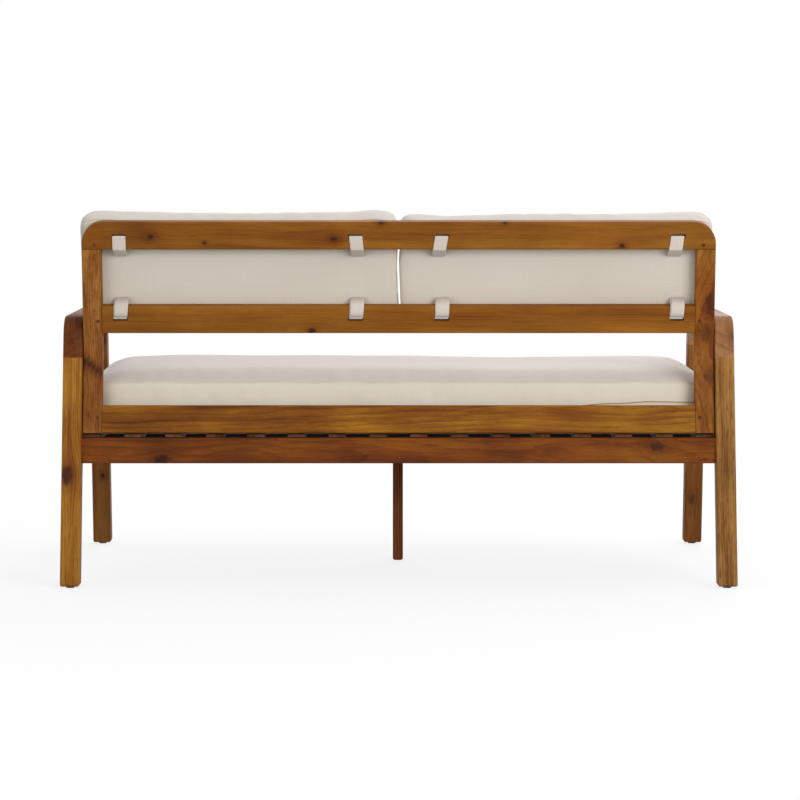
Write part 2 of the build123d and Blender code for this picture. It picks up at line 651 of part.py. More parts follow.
# Top rail: full width, over the ends of both posts
with BuildPart() as top_rail:
    with BuildSketch(UPPER_BACK) as profile:
        with Locations((0, middle(TOP_RAIL_SPAN))):
            Rectangle(2 * BACK_HALF_WIDTH, BACK_RAIL_WIDTH)
        fillet(profile.vertices().group_by(Axis.Y)[-1], BACK_CORNER_RADIUS)
    extrude(amount=BACK_THICK)
    rear_and_front = top_rail.faces().filter_by(Axis(UPPER_BACK.origin, UPPER_BACK.z_dir))
    fillet(rear_and_front.edges(), BACK_EASE)
    cut_slots(TOP_RAIL_SPAN, -1)
    for hand_name, hand in HANDS:
        block(
            UPPER_BACK,
            around(hand * POST_X, POST_TENON_WIDTH + 2 * PLAY),
            (TOP_RAIL_SPAN[0] - OVERRUN, TOP_RAIL_SPAN[0] + POST_TENON_LENGTH + PLAY),
            MORTISE_FORWARD,
            Mode.SUBTRACT,
        )
        pin_bore(UPPER_BACK, hand * TOP_PIN_X, TOP_PIN_UP)
keep(top_rail, "back_top_rail")

# Middle and low rails: tenoned between the posts
for rail_name, plane, span, pin_up in CROSS_RAILS:
    with BuildPart() as cross_rail:
        block(plane, (-POST_INNER_X, POST_INNER_X), span, (0, BACK_THICK))
        fillet(cross_rail.edges().filter_by(Axis.X), BACK_EASE)
        tenon_x = POST_INNER_X + BACK_TENON_LENGTH
        block(plane, (-tenon_x, tenon_x), around(middle(span), BACK_TENON_WIDTH), TENON_FORWARD)
        if rail_name == "back_mid_rail":
            cut_slots(span, 1)
        for hand_name, hand in HANDS:
            pin_bore(plane, hand * PIN_X, pin_up)
    keep(cross_rail, rail_name)

with BuildPart() as tenon_pins:
    for hand_name, hand in HANDS:
        top_start = UPPER_BACK.from_local_coords((hand * TOP_PIN_X, TOP_PIN_UP, 0))
        rod(top_start, UPPER_BACK.z_dir, PIN_RADIUS, PIN_LENGTH)
        for rail_name, plane, span, pin_up in CROSS_RAILS:
            start = plane.from_local_coords((hand * PIN_X, pin_up, 0))
            rod(start, plane.z_dir, PIN_RADIUS, PIN_LENGTH)
keep(tenon_pins, "tenon_pins")

# Bolts from the outer sides of the legs, their barrel nuts and the spacers
BOLTS = [(end * RAIL_Y, RAIL_MIDDLE, RAIL_BOLT_LENGTH) for end_name, end in ENDS]
BOLTS += [(leg_y(height, 0), height, POST_BOLT_LENGTH) for height in POST_BOLT_HEIGHTS]
with BuildPart() as frame_bolts:
    for y, z, length in BOLTS:
        for hand_name, hand in HANDS:
            rod((hand * BOLT_HEAD_X, y, z), (-hand, 0, 0), BOLT_RADIUS, length)
            rod((hand * BOLT_HEAD_X, y, z), (hand, 0, 0), BOLT_HEAD_RADIUS, BOLT_HEAD_HEIGHT)
            socket_start = (hand * (BOLT_HEAD_X + BOLT_HEAD_HEIGHT), y, z)
            rod(socket_start, (-hand, 0, 0), BOLT_SOCKET, BOLT_SOCKET_DEPTH, Mode.SUBTRACT)
keep(frame_bolts, "frame_bolts")

with BuildPart() as barrel_nuts:
    for hand_name, hand in HANDS:
        for end_name, end in ENDS:
            start = (hand * RAIL_NUT_X, end * RAIL_Y, RAIL_MIDDLE - NUT_LENGTH / 2)
            rod(start, (0, 0, 1), NUT_RADIUS, NUT_LENGTH)
        for height in POST_BOLT_HEIGHTS:
            start = (hand * POST_NUT_X, leg_y(height, 0) - NUT_LENGTH / 2, height)
            rod(start, (0, 1, 0), NUT_RADIUS, NUT_LENGTH)
    for y, z, length in BOLTS:
        for hand_name, hand in HANDS:
            rod((hand * BOLT_HEAD_X, y, z), (-hand, 0, 0), BOLT_RADIUS + PLAY, length, Mode.SUBTRACT)
keep(barrel_nuts, "barrel_nuts")

with BuildPart() as back_spacers:
    for height in POST_BOLT_HEIGHTS:
        for hand_name, hand in HANDS:
            start = (hand * BACK_HALF_WIDTH, leg_y(height, 0), height)
            rod(start, (hand, 0, 0), SPACER_RADIUS, BACK_CLEAR)
            rod(start, (hand, 0, 0), BOLT_RADIUS + PLAY, BACK_CLEAR, Mode.SUBTRACT)
keep(back_spacers, "back_spacers")


def strap_section(span, direction, reach):
    """The wood that a strap goes round: from its slot to the edge of the rail that direction names."""
    slot_y, slot_z = slot_centre(span, direction)
    wall_z = slot_z + direction * SLOT_HEIGHT / 2
    edge = span[1] if direction > 0 else span[0]
    slope = tan(RECLINE)
    rear_y = UPPER_BACK.origin.Y + (wall_z - UPPER_BACK.origin.Z) * slope
    front_y = rear_y - BACK_THICK / cos(RECLINE)
    far_rear = UPPER_BACK.from_local_coords((0, edge, 0))
    far_front = UPPER_BACK.from_local_coords((0, edge + direction * reach, BACK_THICK))
    return [(rear_y, wall_z), (far_rear.Y, far_rear.Z), (far_front.Y, far_front.Z), (front_y, wall_z)]


# Webbing straps: each a closed loop through its slot and round the near edge of its rail
for strap_name, span, direction, reach in (
    ("top", TOP_RAIL_SPAN, -1, TOP_STRAP_REACH),
    ("mid", MID_RAIL_SPAN, 1, MID_STRAP_REACH),
):
    section = strap_section(span, direction, reach)
    for hand_name, hand in HANDS:
        with BuildPart() as straps:
            for x in STRAP_XS:
                with BuildSketch(Plane.YZ.offset(hand * x - STRAP_WIDTH / 2)):
                    with BuildSketch(mode=Mode.PRIVATE) as wood:
                        with BuildLine():
                            Polyline(*section, close=True)
                        make_face()
                    offset(wood.sketch, amount=STRAP_GAP + STRAP_THICK)
                    offset(wood.sketch, amount=STRAP_GAP, mode=Mode.SUBTRACT)
                extrude(amount=STRAP_WIDTH)
        keep(straps, f"straps_{strap_name}_{hand_name}")


def section_sizes(width, depth, corner, draw, shares, shrink):
    """The width, depth, corner radius and height share of each section of a cushion."""
    sizes = []
    for height_share, inset_share in shares:
        inset = inset_share * draw
        section_width = width - 2 * (inset + shrink)
        section_depth = depth - 2 * (inset + shrink)
        grown = corner + CORNER_GROWTH_SHARE * inset - shrink
        radius = min(grown, CORNER_LIMIT_SHARE * min(section_width, section_depth))
        sizes.append((section_width, section_depth, radius, height_share))
    return sizes


def widest_share(shares):
    """The height share at which a cushion isn't drawn in."""
    return min(shares, key=lambda row: row[1])[0]


SEAT_CUSHION_WIDEST = SLAT_TOP + SEAM_GAP + widest_share(SEAT_PROFILE_SHARES) * SEAT_CUSHION_THICK
POST_FRONT_ACROSS = LEG_DEPTH / 2 - POST_SETBACK - BACK_THICK
SEAT_CUSHION_REAR = leg_y(SEAT_CUSHION_WIDEST, POST_FRONT_ACROSS) - SEAT_CUSHION_REAR_CLEAR
SEAT_CUSHION_FRONT = RAIL_OUTER_Y + SEAT_CUSHION_OVERHANG
SEAT_CUSHION_WIDTH = 2 * (INNER_X - SEAT_CUSHION_SIDE_CLEAR)
SEAT_CUSHION_DEPTH = SEAT_CUSHION_FRONT + SEAT_CUSHION_REAR
SEAT_CUSHION_PLANE = Plane((0, (SEAT_CUSHION_REAR - SEAT_CUSHION_FRONT) / 2, SLAT_TOP + SEAM_GAP))
BACK_CUSHION_WIDTH = INNER_X - BACK_CUSHION_SIDE_CLEAR - BACK_CUSHION_GAP / 2
BACK_CUSHION_RISE = MID_RAIL_RISE - BACK_CUSHION_BELOW_RAIL
BACK_CUSHION_HEIGHT = BACK_RISE + BACK_CUSHION_ABOVE_RAIL - BACK_CUSHION_RISE
BACK_CUSHION_FORWARD = BACK_THICK + STRAP_GAP + STRAP_THICK + SEAM_GAP
BACK_CUSHION_X = (BACK_CUSHION_GAP + BACK_CUSHION_WIDTH) / 2
BACK_CUSHION_UP = BACK_CUSHION_RISE + BACK_CUSHION_HEIGHT / 2


def back_cushion_plane(hand):
    centre = UPPER_BACK.from_local_coords((hand * BACK_CUSHION_X, BACK_CUSHION_UP, BACK_CUSHION_FORWARD))
    return Plane(centre, x_dir=UPPER_BACK.x_dir, z_dir=UPPER_BACK.z_dir)


SEAT_CUSHION = (
    SEAT_CUSHION_PLANE, SEAT_CUSHION_WIDTH, SEAT_CUSHION_DEPTH, SEAT_CUSHION_THICK,
    SEAT_CUSHION_CORNER, SEAT_CUSHION_DRAW, SEAT_PROFILE_SHARES,
)
BACK_CUSHION_SIZES = (
    BACK_CUSHION_WIDTH, BACK_CUSHION_HEIGHT, BACK_CUSHION_THICK,
    BACK_CUSHION_CORNER, BACK_CUSHION_DRAW, BACK_PROFILE_SHARES,
)
CUSHIONS = [("seat", "", SEAT_CUSHION)]
for hand_name, hand in HANDS:
    CUSHIONS.append(("back", f"_{hand_name}", (back_cushion_plane(hand), *BACK_CUSHION_SIZES)))

# Cushions: a sewn cover, drawn in at its edges and crowned, filled by a foam block
for kind, ending, (plane, width, depth, thick, corner, draw, shares) in CUSHIONS:
    with BuildPart() as cover:
        for section in section_sizes(width, depth, corner, draw, shares, 0):
            with BuildSketch(plane.offset(section[3] * thick)):
                RectangleRounded(*section[:3])
        loft(ruled=True)
        for section in section_sizes(width, depth, corner, draw, shares, COVER_THICK):
            with BuildSketch(plane.offset(COVER_THICK + section[3] * (thick - 2 * COVER_THICK))):
                RectangleRounded(*section[:3])
        loft(ruled=True, mode=Mode.SUBTRACT)
    keep(cover, f"{kind}_cover{ending}")
    inside = COVER_THICK + FOAM_GAP
    with BuildPart() as foam:
        for section in section_sizes(width, depth, corner, draw, shares, inside):
            with BuildSketch(plane.offset(inside + section[3] * (thick - 2 * inside))):
                RectangleRounded(*section[:3])
        loft(ruled=True)
    keep(foam, f"{kind}_foam{ending}")


def back_inset(height_share):
    """How far a back cushion's side is drawn in, at a share of its thickness."""
    rows = zip(BACK_PROFILE_SHARES, BACK_PROFILE_SHARES[1:])
    for (low, low_inset), (high, high_inset) in rows:
        if low <= height_share <= high:
            share = low_inset + (high_inset - low_inset) * (height_share - low) / (high - low)
    return BACK_CUSHION_DRAW * share


# Zip pulls: a slider under the lower rear edge of each back cushion, with its tab hanging
ZIP_FRONT_SHARE = (ZIP_FORWARD + ZIP_BODY_LENGTH / 2) / BACK_CUSHION_THICK
ZIP_EDGE_INSET = back_inset(ZIP_FRONT_SHARE)
ZIP_CORNER = BACK_CUSHION_CORNER + CORNER_GROWTH_SHARE * ZIP_EDGE_INSET
for (hand_name, hand), inset in zip(HANDS, ZIP_INSETS):
    past_corner = max(0, ZIP_CORNER + ZIP_EDGE_INSET - inset - ZIP_BODY_WIDTH / 2)
    corner_rise = ZIP_CORNER - (ZIP_CORNER**2 - past_corner**2) ** 0.5
    zip_up = BACK_CUSHION_RISE + ZIP_EDGE_INSET + corner_rise - SEAM_GAP
    zip_x = hand * (BACK_CUSHION_X + BACK_CUSHION_WIDTH / 2 - inset)
    zip_forward = BACK_CUSHION_FORWARD + ZIP_FORWARD
    with BuildPart() as zip_pull:
        block(
            UPPER_BACK,
            around(zip_x, ZIP_BODY_WIDTH),
            (zip_up - ZIP_BODY_HEIGHT, zip_up),
            around(zip_forward, ZIP_BODY_LENGTH),
        )
        tab_forward = around(zip_forward - (ZIP_BODY_LENGTH - ZIP_TAB_THICK) / 2, ZIP_TAB_THICK)
        tab_up = (zip_up - ZIP_TAB_LENGTH, zip_up - ZIP_BODY_HEIGHT / 2)
        block(UPPER_BACK, around(zip_x, ZIP_TAB_WIDTH), tab_up, tab_forward)
        hole_up = tab_up[0] + ZIP_TAB_WIDTH / 2
        hole = UPPER_BACK.from_local_coords((zip_x, hole_up, zip_forward - ZIP_BODY_LENGTH))
        rod(hole, UPPER_BACK.z_dir, ZIP_HOLE_RADIUS, 2 * ZIP_BODY_LENGTH, Mode.SUBTRACT)
    keep(zip_pull, f"zip_pull_{hand_name}")
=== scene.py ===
import math

import bpy
from mathutils import Matrix, Vector, noise
from mathutils.bvhtree import BVHTree


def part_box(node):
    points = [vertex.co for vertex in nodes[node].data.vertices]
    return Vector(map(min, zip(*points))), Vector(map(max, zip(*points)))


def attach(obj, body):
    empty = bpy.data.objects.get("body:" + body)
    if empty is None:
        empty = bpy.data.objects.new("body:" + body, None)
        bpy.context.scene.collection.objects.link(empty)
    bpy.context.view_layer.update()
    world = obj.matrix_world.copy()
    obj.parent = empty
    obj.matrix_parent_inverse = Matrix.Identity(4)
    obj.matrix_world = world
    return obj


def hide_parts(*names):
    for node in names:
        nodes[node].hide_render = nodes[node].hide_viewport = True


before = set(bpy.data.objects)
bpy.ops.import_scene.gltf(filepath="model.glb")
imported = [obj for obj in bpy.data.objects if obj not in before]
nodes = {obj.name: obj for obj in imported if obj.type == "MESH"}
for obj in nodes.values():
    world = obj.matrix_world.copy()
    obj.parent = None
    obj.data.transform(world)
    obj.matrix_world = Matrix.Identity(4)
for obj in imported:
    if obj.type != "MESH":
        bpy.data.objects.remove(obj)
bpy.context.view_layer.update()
bpy.context.scene.view_settings.view_transform = "Standard"

# Camera: a long lens behind the sofa, a little above the backrest and tipped down to it.
# The rest of the downward look is lens shift, so that the legs stay nearly upright.
FOCAL_PIXELS = 3108.0
IMAGE_PIXELS = 800.0
HORIZON_ROW = 155.0
VANISHING_COLUMN = 385.4
TIP_DOWN = math.radians(2.0)
SENSOR = 36.0
lens = bpy.data.cameras.new("camera")
lens.sensor_width = SENSOR
lens.lens = SENSOR * FOCAL_PIXELS / IMAGE_PIXELS
lens.shift_x = (IMAGE_PIXELS / 2 - VANISHING_COLUMN) / IMAGE_PIXELS
lens.shift_y = (HORIZON_ROW - IMAGE_PIXELS / 2 + FOCAL_PIXELS * math.tan(TIP_DOWN)) / IMAGE_PIXELS
lens.clip_end = 100.0
camera = bpy.data.objects.new("camera", lens)
camera.location = (0.026, 6.393, 0.844)
camera.rotation_euler = (math.radians(90) - TIP_DOWN, 0.0, math.radians(180))
bpy.context.scene.collection.objects.link(camera)
bpy.context.scene.camera = camera


# Studio: a pale seamless floor, which the camera sees as white paper with a faint shadow,
# under a white sky. Two broad soft lamps stand on the camera's side of the sofa, one hangs
# overhead, and one lights it from the front.


class Line:
    """An output in a shader's node tree. Arithmetic on it adds Math nodes, make() any other."""

    def __init__(self, tree, socket=None):
        self.tree = tree
        self.socket = socket

    def make(self, kind, settings, sockets, output=0):
        """A node of any kind: its settings first, then the values or links of its sockets."""
        node = self.tree.nodes.new(kind)
        for name, value in settings.items():
            if name == "stops":
                ramp = node.color_ramp.elements
                while len(ramp) < len(value):
                    ramp.new(1.0)
                for element, (position, colour) in zip(ramp, value):
                    element.position = position
                    element.color = colour
            else:
                setattr(node, name, value)
        for key, value in sockets.items():
            if isinstance(value, Line):
                self.tree.links.new(value.socket, node.inputs[key])
            else:
                node.inputs[key].default_value = value
        return Line(self.tree, node.outputs[output])

    def maths(self, operation, first, second=0.0):
        return self.make("ShaderNodeMath", {"operation": operation}, {0: first, 1: second})

    def __add__(self, other):
        return self.maths("ADD", self, other)

    __radd__ = __add__

    def __sub__(self, other):
        return self.maths("SUBTRACT", self, other)

    def __rsub__(self, other):
        return self.maths("SUBTRACT", other, self)

    def __mul__(self, other):
        return self.maths("MULTIPLY", self, other)

    __rmul__ = __mul__

    def __truediv__(self, other):
        return self.maths("DIVIDE", self, other)

    def __rtruediv__(self, other):
        return self.maths("DIVIDE", other, self)

    def here(self):
        """Where a point is, in the axes that all pieces share."""
        return self.make("ShaderNodeTexCoord", {}, {}, "Object")

    def dot(self, axis):
        """How far a vector reaches along an axis."""
        settings = {"operation": "DOT_PRODUCT"}
        return self.make("ShaderNodeVectorMath", settings, {0: self, 1: axis}, "Value")

    def stretched(self, side, deep, along, across):
        """A vector of three lines, the first scaled by along and the other two by across."""
        parts = {0: self * along, 1: side * across, 2: deep * across}
        return self.make("ShaderNodeCombineXYZ", {}, parts)

    def mottle(self, scale, detail, roughness=0.5):
        """Noise at a vector."""
        sockets = {"Vector": self, "Scale": scale, "Detail": detail, "Roughness": roughness}
        return self.make("ShaderNodeTexNoise", {}, sockets, "Fac")

    def ease(self, low, high, start=0.0, end=1.0):
        """A smooth step from one value to another as this line goes from low to high."""
        sockets = {"Value": self, "From Min": low, "From Max": high, "To Min": start, "To Max": end}
        return self.make("ShaderNodeMapRange", {"interpolation_type": "SMOOTHSTEP"}, sockets)

    def blend(self, first, second, how="MIX"):
        """A colour between two, with this line as the share of the second."""
        settings = {"data_type": "RGBA", "blend_type": how}
        return self.make("ShaderNodeMix", settings, {0: self, 6: first, 7: second}, 2)

    def bump(self, distance, strength):
        """A normal, with this line as the height of the surface in shares of a distance."""
        sockets = {"Height": self, "Distance": distance, "Strength": strength}
        return self.make("ShaderNodeBump", {}, sockets)


def seen(red, green, blue):
    """A colour as an eye reads it, each part from 0 to 255."""
    parts = [value / 255 for value in (red, green, blue)]
    return (*(p / 12.92 if p <= 0.04045 else ((p + 0.055) / 1.055) ** 2.4 for p in parts), 1.0)


def finish_called(name):
    """A new material, with the line to build its nodes from and a call that feeds its shader."""
    material = bpy.data.materials.new(name)
    material.use_nodes = True
    tree = material.node_tree
    shader = tree.nodes["Principled BSDF"]

    def feed(**values):
        for key, value in values.items():
            socket = shader.inputs[key.replace("_", " ")]
            if isinstance(value, Line):
                tree.links.new(value.socket, socket)
            else:
                socket.default_value = value

    return material, Line(tree), feed


def shaped(name, points, faces):
    """A new object in the scene, from its points and faces."""
    mesh = bpy.data.meshes.new(name)
    mesh.from_pydata(points, [], faces)
    mesh.update()
    piece = bpy.data.objects.new(name, mesh)
    bpy.context.scene.collection.objects.link(piece)
    return piece


def background_rays(line):
    """1 where a ray sees the background: from the camera, off metal or through glass."""
    camera_rays, glossy_rays, through_rays = (
        line.make("ShaderNodeLightPath", {}, {}, f"Is {kind} Ray")
        for kind in ("Camera", "Glossy", "Transmission")
    )
    return camera_rays + glossy_rays + through_rays


FLOOR_HALF = 30.0
# The shadow shows in full within the first distance from the sofa and is gone at the second
SHADOW_FULL = 1.0
SHADOW_GONE = 2.2
WHITE_IN_SHADOW = 0.8
floor_corners = [
    (x * FLOOR_HALF, y * FLOOR_HALF, 0.0) for x, y in ((-1, -1), (1, -1), (1, 1), (-1, 1))
]
floor = shaped("floor", floor_corners, [(0, 1, 2, 3)])
paper, paper_line, feed = finish_called("paper_floor")
paper_tree = paper.node_tree
white_rays = background_rays(paper_line)
feed(Base_Color=white_rays.blend(seen(176, 176, 176), seen(250, 250, 250)), Roughness=0.9)
length = {"operation": "LENGTH"}
from_sofa = paper_line.make("ShaderNodeVectorMath", length, {0: paper_line.here()}, "Value")
white_paper = paper_line.make("ShaderNodeEmission", {}, {"Color": (1, 1, 1, 1), "Strength": 1.0})
lit_paper = Line(paper_tree, paper_tree.nodes["Principled BSDF"].outputs[0])
white_share = white_rays * from_sofa.ease(SHADOW_FULL, SHADOW_GONE, WHITE_IN_SHADOW, 1.0)
papers = {0: white_share, 1: lit_paper, 2: white_paper}
paper_mix = paper_line.make("ShaderNodeMixShader", {}, papers)
paper_tree.links.new(paper_mix.socket, paper_tree.nodes["Material Output"].inputs["Surface"])
floor.data.materials.append(paper)

SKY_LIGHT = 0.62
sky = bpy.data.worlds.new("sky")
bpy.context.scene.world = sky
sky.use_nodes = True
sky_tree = sky.node_tree
sky_line = Line(sky_tree)
sky_strength = background_rays(sky_line).ease(0.0, 1.0, SKY_LIGHT, 1.0)
sky_sockets = {"Color": (1, 1, 1, 1), "Strength": sky_strength}
sky_background = sky_line.make("ShaderNodeBackground", {}, sky_sockets)
sky_tree.links.new(sky_background.socket, sky_tree.nodes["World Output"].inputs["Surface"])

# Each lamp's place, the spot it is aimed at, its width in metres and its watts
for lamp_name, lamp_place, lamp_target, lamp_width, lamp_watts in (
    ("key_light", (-2.8, 4.4, 1.9), (0.0, 0.2, 0.4), 2.6, 130.0),
    ("fill_light", (3.0, 4.2, 1.2), (0.0, 0.2, 0.4), 2.4, 37.0),
    ("top_light", (-1.6, -0.3, 3.0), (0.0, 0.0, 0.4), 2.4, 18.0),
    ("front_light", (-0.8, -3.7, 2.1), (0.0, 0.0, 0.4), 2.8, 84.0),
):
    lamp_data = bpy.data.lights.new(lamp_name, "AREA")
    lamp_data.size = lamp_width
    lamp_data.energy = lamp_watts
    lamp = bpy.data.objects.new(lamp_name, lamp_data)
    lamp.location = lamp_place
    aim = Vector(lamp_target) - Vector(lamp_place)
    lamp.rotation_euler = aim.to_track_quat("-Z", "Y").to_euler()
    bpy.context.scene.collection.objects.link(lamp)


# Legs: four splayed bars of oiled acacia with a straight grain, sawn level at the foot and
# bolted to the rails between them. The rear pair is of golden boards, and the front pair,
# seen through the frame, is of browner stock.
SPLAY = math.radians(10.0)
WIDTHWAYS = Vector((1.0, 0.0, 0.0))
DEPTHWAYS = Vector((0.0, 1.0, 0.0))
UPRIGHT = Vector((0.0, 0.0, 1.0))
LEG_GRAIN = Vector((0.0, -math.sin(SPLAY), math.cos(SPLAY)))
YEAR_RING = 0.0046
GRAIN_WANDER = 0.034
# Cells in a metre across the grain, from broad bands to single pores
BANDS, STREAKS, FIBRES, PORES = 34.0, 230.0, 1000.0, 1300.0
# A knot's length in widths, the pull on the grain beside it, its ragged rim and its halo
KNOT_LENGTH, KNOT_PULL, KNOT_RAGGED, KNOT_HALO = 1.5, 0.65, 3.2, 0.42
# A knot's dark core. The painted shade on a piece's sides takes this colour too
KNOT_CORE_AND_SIDE_SHADE = seen(40, 17, 6)
# Where pieces are cut from several boards: metres between their grains, spread of their tones
BOARD_SHIFT, BOARD_SPREAD = 5.0, 0.45


def timber(name, along, across, tones, knots=(), pith=(0.0, 0.0), contrast=1.0, figure=1.0,
           mirrored=False, board=None, fine=1.0, flecks=0.15, painted_side_shade=0.0):
    """Oiled hardwood with its grain along one axis. Tones run dark, body, light.

    A knot is its place along and across the grain, its radius and its strength. The pith is
    the tree's middle, across the grain and square to that. Contrast is the strength of the
    grain's lines, fine is how close they lie, and figure is the strength of the clouds over
    them. Mirrored timber looks the same on a piece in front and one behind. A board is an
    axis and a pitch. Flecks are short dark marks, and the side shade is painted shade that
    darkens a piece's sides.
    """
    material, line, feed = finish_called(name)
    place = line.here()
    if mirrored:
        depth = line.maths("ABSOLUTE", place.dot(DEPTHWAYS))
        parts = {0: place.dot(WIDTHWAYS), 1: depth, 2: place.dot(UPRIGHT)}
        place = line.make("ShaderNodeCombineXYZ", {}, parts)
    run = place.dot(along)
    side = place.dot(across)
    deep = place.dot(along.cross(across))
    board_tone = 0.0
    if board:
        axis, pitch = board
        count = line.maths("FLOOR", place.dot(axis) / pitch + 0.5)
        settings = {"noise_dimensions": "1D"}
        board_tone = line.make("ShaderNodeTexWhiteNoise", settings, {"W": count}, "Value")
        run = run + board_tone * BOARD_SHIFT
        board_tone = (board_tone - 0.5) * BOARD_SPREAD
    # Knots: a ragged dark core in a halo, with the grain drawn aside round it
    heart = shade = None
    for knot_run, knot_side, radius, strength in knots:
        away = (run - knot_run) / (radius * KNOT_LENGTH)
        beside = (side - knot_side) / radius
        distance = away * away + beside * beside
        near = line.maths("EXPONENT", distance * -0.10)
        side = side - (side - knot_side) * near * KNOT_PULL
        ragged = run.stretched(side, deep, 0.5 / radius, 0.9 / radius).mottle(1.0, 3.0, 0.7)
        core = (distance + (ragged - 0.5) * KNOT_RAGGED).ease(0.0, 1.5, strength, 0.0)
        halo = line.maths("EXPONENT", distance * -0.22) * (KNOT_HALO * strength)
        heart = core if heart is None else line.maths("MAXIMUM", heart, core)
        shade = halo if shade is None else shade + halo
    # Grain: year rings round the pith, which wanders, and bands, streaks and fibres along it
    bend_side = run.stretched(side, deep, 1.7, 5.0).mottle(1.0, 2.0)
    bend_deep = run.stretched(deep, side, 2.3, 6.0).mottle(1.3, 2.0)
    from_side = side + (bend_side - 0.5) * GRAIN_WANDER - pith[0]
    from_deep = deep + (bend_deep - 0.5) * GRAIN_WANDER + run * 0.02 - pith[1]
    from_pith = line.maths("SQRT", from_side * from_side + from_deep * from_deep)
    bands = run.stretched(from_side, from_deep, 1.1, BANDS * fine).mottle(1.0, 3.0, 0.6)
    streaks = run.stretched(from_side, from_deep, 5.0, STREAKS * fine).mottle(1.0, 3.0, 0.65)
    fibres = run.stretched(from_side, from_deep, 34.0, FIBRES).mottle(1.0, 2.0, 0.6)
    years = line.maths("FRACT", (from_pith + (streaks - 0.5) * 0.003) / (YEAR_RING / fine))
    clouds = run.stretched(side, deep, 7.0, 16.0).mottle(1.0, 2.0)
    dark_lines = streaks.ease(0.56, 0.74)
    # Tone: the patterns added up about a half, which is the body colour
    tone = (bands - 0.5) * 1.25 + (streaks - 0.5) * 0.75 + (fibres - 0.5) * 0.35
    tone = tone - (years * years * years - 0.25) * 0.18 - dark_lines * 0.22 + 0.03
    tone = tone * contrast + (clouds - 0.5) * (0.7 * figure) + board_tone + 0.5
    if shade is not None:
        tone = tone - shade
    dark, body, light = tones
    stops = {"stops": ((0.12, dark), (0.5, body), (0.88, light))}
    colour = tone.make("ShaderNodeValToRGB", stops, {0: tone})
    # Redder patches, then pores, dark marks, knots and painted shade on the sides over the colour
    redness = place.mottle(5.5, 1.0).ease(0.38, 0.68)
    colour = (redness * (0.5 * figure)).blend(colour, (1.0, 0.84, 0.62, 1.0), "MULTIPLY")
    pores = run.stretched(side, deep, 60.0, PORES).mottle(1.0, 1.0).ease(0.60, 0.72)
    colour = (pores * 0.4).blend(colour, dark)
    marks = run.stretched(side, deep, 40.0, 330.0).mottle(1.0, 1.0).ease(0.56, 0.70)
    colour = (marks * flecks).blend(colour, dark)
    if heart is not None:
        colour = heart.blend(colour, KNOT_CORE_AND_SIDE_SHADE)
    # Painted shade: faces turned across the grain are darkened, as sides in shade would be
    if painted_side_shade:
        facing = line.make("ShaderNodeNewGeometry", {}, {}, "Normal").dot(across)
        turned = line.maths("ABSOLUTE", facing).ease(0.3, 0.8)
        colour = (turned * painted_side_shade).blend(colour, KNOT_CORE_AND_SIDE_SHADE)
    relief = fibres * 0.6 + streaks * 0.5 + (1.0 - pores)
    feed(
        Base_Color=colour,
        Roughness=0.68 - streaks * 0.12,
        Normal=relief.bump(0.00014, 0.6),
        Specular_IOR_Level=0.16,
    )
    return material


def dress(node_names, material):
    """Give CAD nodes their finish."""
    for name in node_names:
        for holder in nodes[name].material_slots:
            holder.material = material


GOLDEN = (seen(109, 56, 10), seen(142, 92, 23), seen(169, 123, 41))
OLIVE = (seen(92, 52, 15), seen(138, 95, 42), seen(164, 125, 67))
SHADED = (seen(88, 43, 10), seen(120, 73, 25), seen(144, 97, 45))
dress(["rear_leg_left"], timber(
    "left_leg_timber", LEG_GRAIN, WIDTHWAYS, GOLDEN, [(0.1565, 0.648, 0.012, 0.8)],
    pith=(0.40, 0.30), contrast=1.6, mirrored=True,
))
dress(["rear_leg_right"], timber(
    "right_leg_timber", LEG_GRAIN, WIDTHWAYS, OLIVE,
    pith=(-0.95, 0.32), contrast=1.3, mirrored=True, flecks=0.6,
))
dress(["front_leg_left"], timber(
    "left_front_leg_timber", LEG_GRAIN, WIDTHWAYS, SHADED, [(0.0976, 0.637, 0.004, 1.0)],
    pith=(0.66, 0.32), contrast=0.8, mirrored=True,
))
dress(["front_leg_right"], timber(
    "right_front_leg_timber", LEG_GRAIN, WIDTHWAYS, SHADED, [(0.0447, -0.637, 0.008, 0.5)],
    pith=(-0.66, 0.32), mirrored=True,
))

# Glides: tapered discs of black nylon, each moulded on a stem and knocked into a foot.
# The spacers between the back posts and the legs are cut from bar of the same nylon.
nylon, line, feed = finish_called("black_nylon")
grain_of_mould = line.here().mottle(900.0, 2.0)
feed(
    Base_Color=seen(26, 25, 25),
    Roughness=0.42 + grain_of_mould * 0.2,
    Normal=grain_of_mould.bump(0.00008, 0.5),
)
dress(["leg_glides", "back_spacers"], nylon)

# Arms: level bars of oiled hardwood between bent corner blocks, dowelled together and stood
# on the legs. The grain turns in the blocks, which show darker on one side of the sofa, and
# warmer and paler on the other.
CORNER_TURN = math.radians(50)
CORNER_GRAIN = Vector((0.0, -math.sin(CORNER_TURN), math.cos(CORNER_TURN)))
ARM_TONES = (seen(84, 42, 16), seen(118, 70, 34), seen(146, 98, 56))
DARK_CORNER = (seen(62, 26, 4), seen(101, 53, 11), seen(136, 82, 26))
WARM_CORNER = (seen(118, 76, 46), seen(164, 118, 74), seen(188, 146, 98))
dress(["arm_rail_left", "arm_rail_right"], timber("arm_timber", DEPTHWAYS, WIDTHWAYS, ARM_TONES))
dress(["arm_corner_rear_left", "arm_corner_front_left"], timber(
    "dark_corner_timber", CORNER_GRAIN, WIDTHWAYS, DARK_CORNER, [(0.19, 0.630, 0.010, 0.3)],
    pith=(0.60, 0.45), contrast=0.9, mirrored=True, fine=0.4,
))
dress(["arm_corner_rear_right", "arm_corner_front_right"], timber(
    "warm_corner_timber", CORNER_GRAIN, WIDTHWAYS, WARM_CORNER, [(0.090, -0.656, 0.009, 0.25)],
    pith=(-0.60, 0.45), contrast=0.9, figure=0.35, mirrored=True, fine=0.35,
))
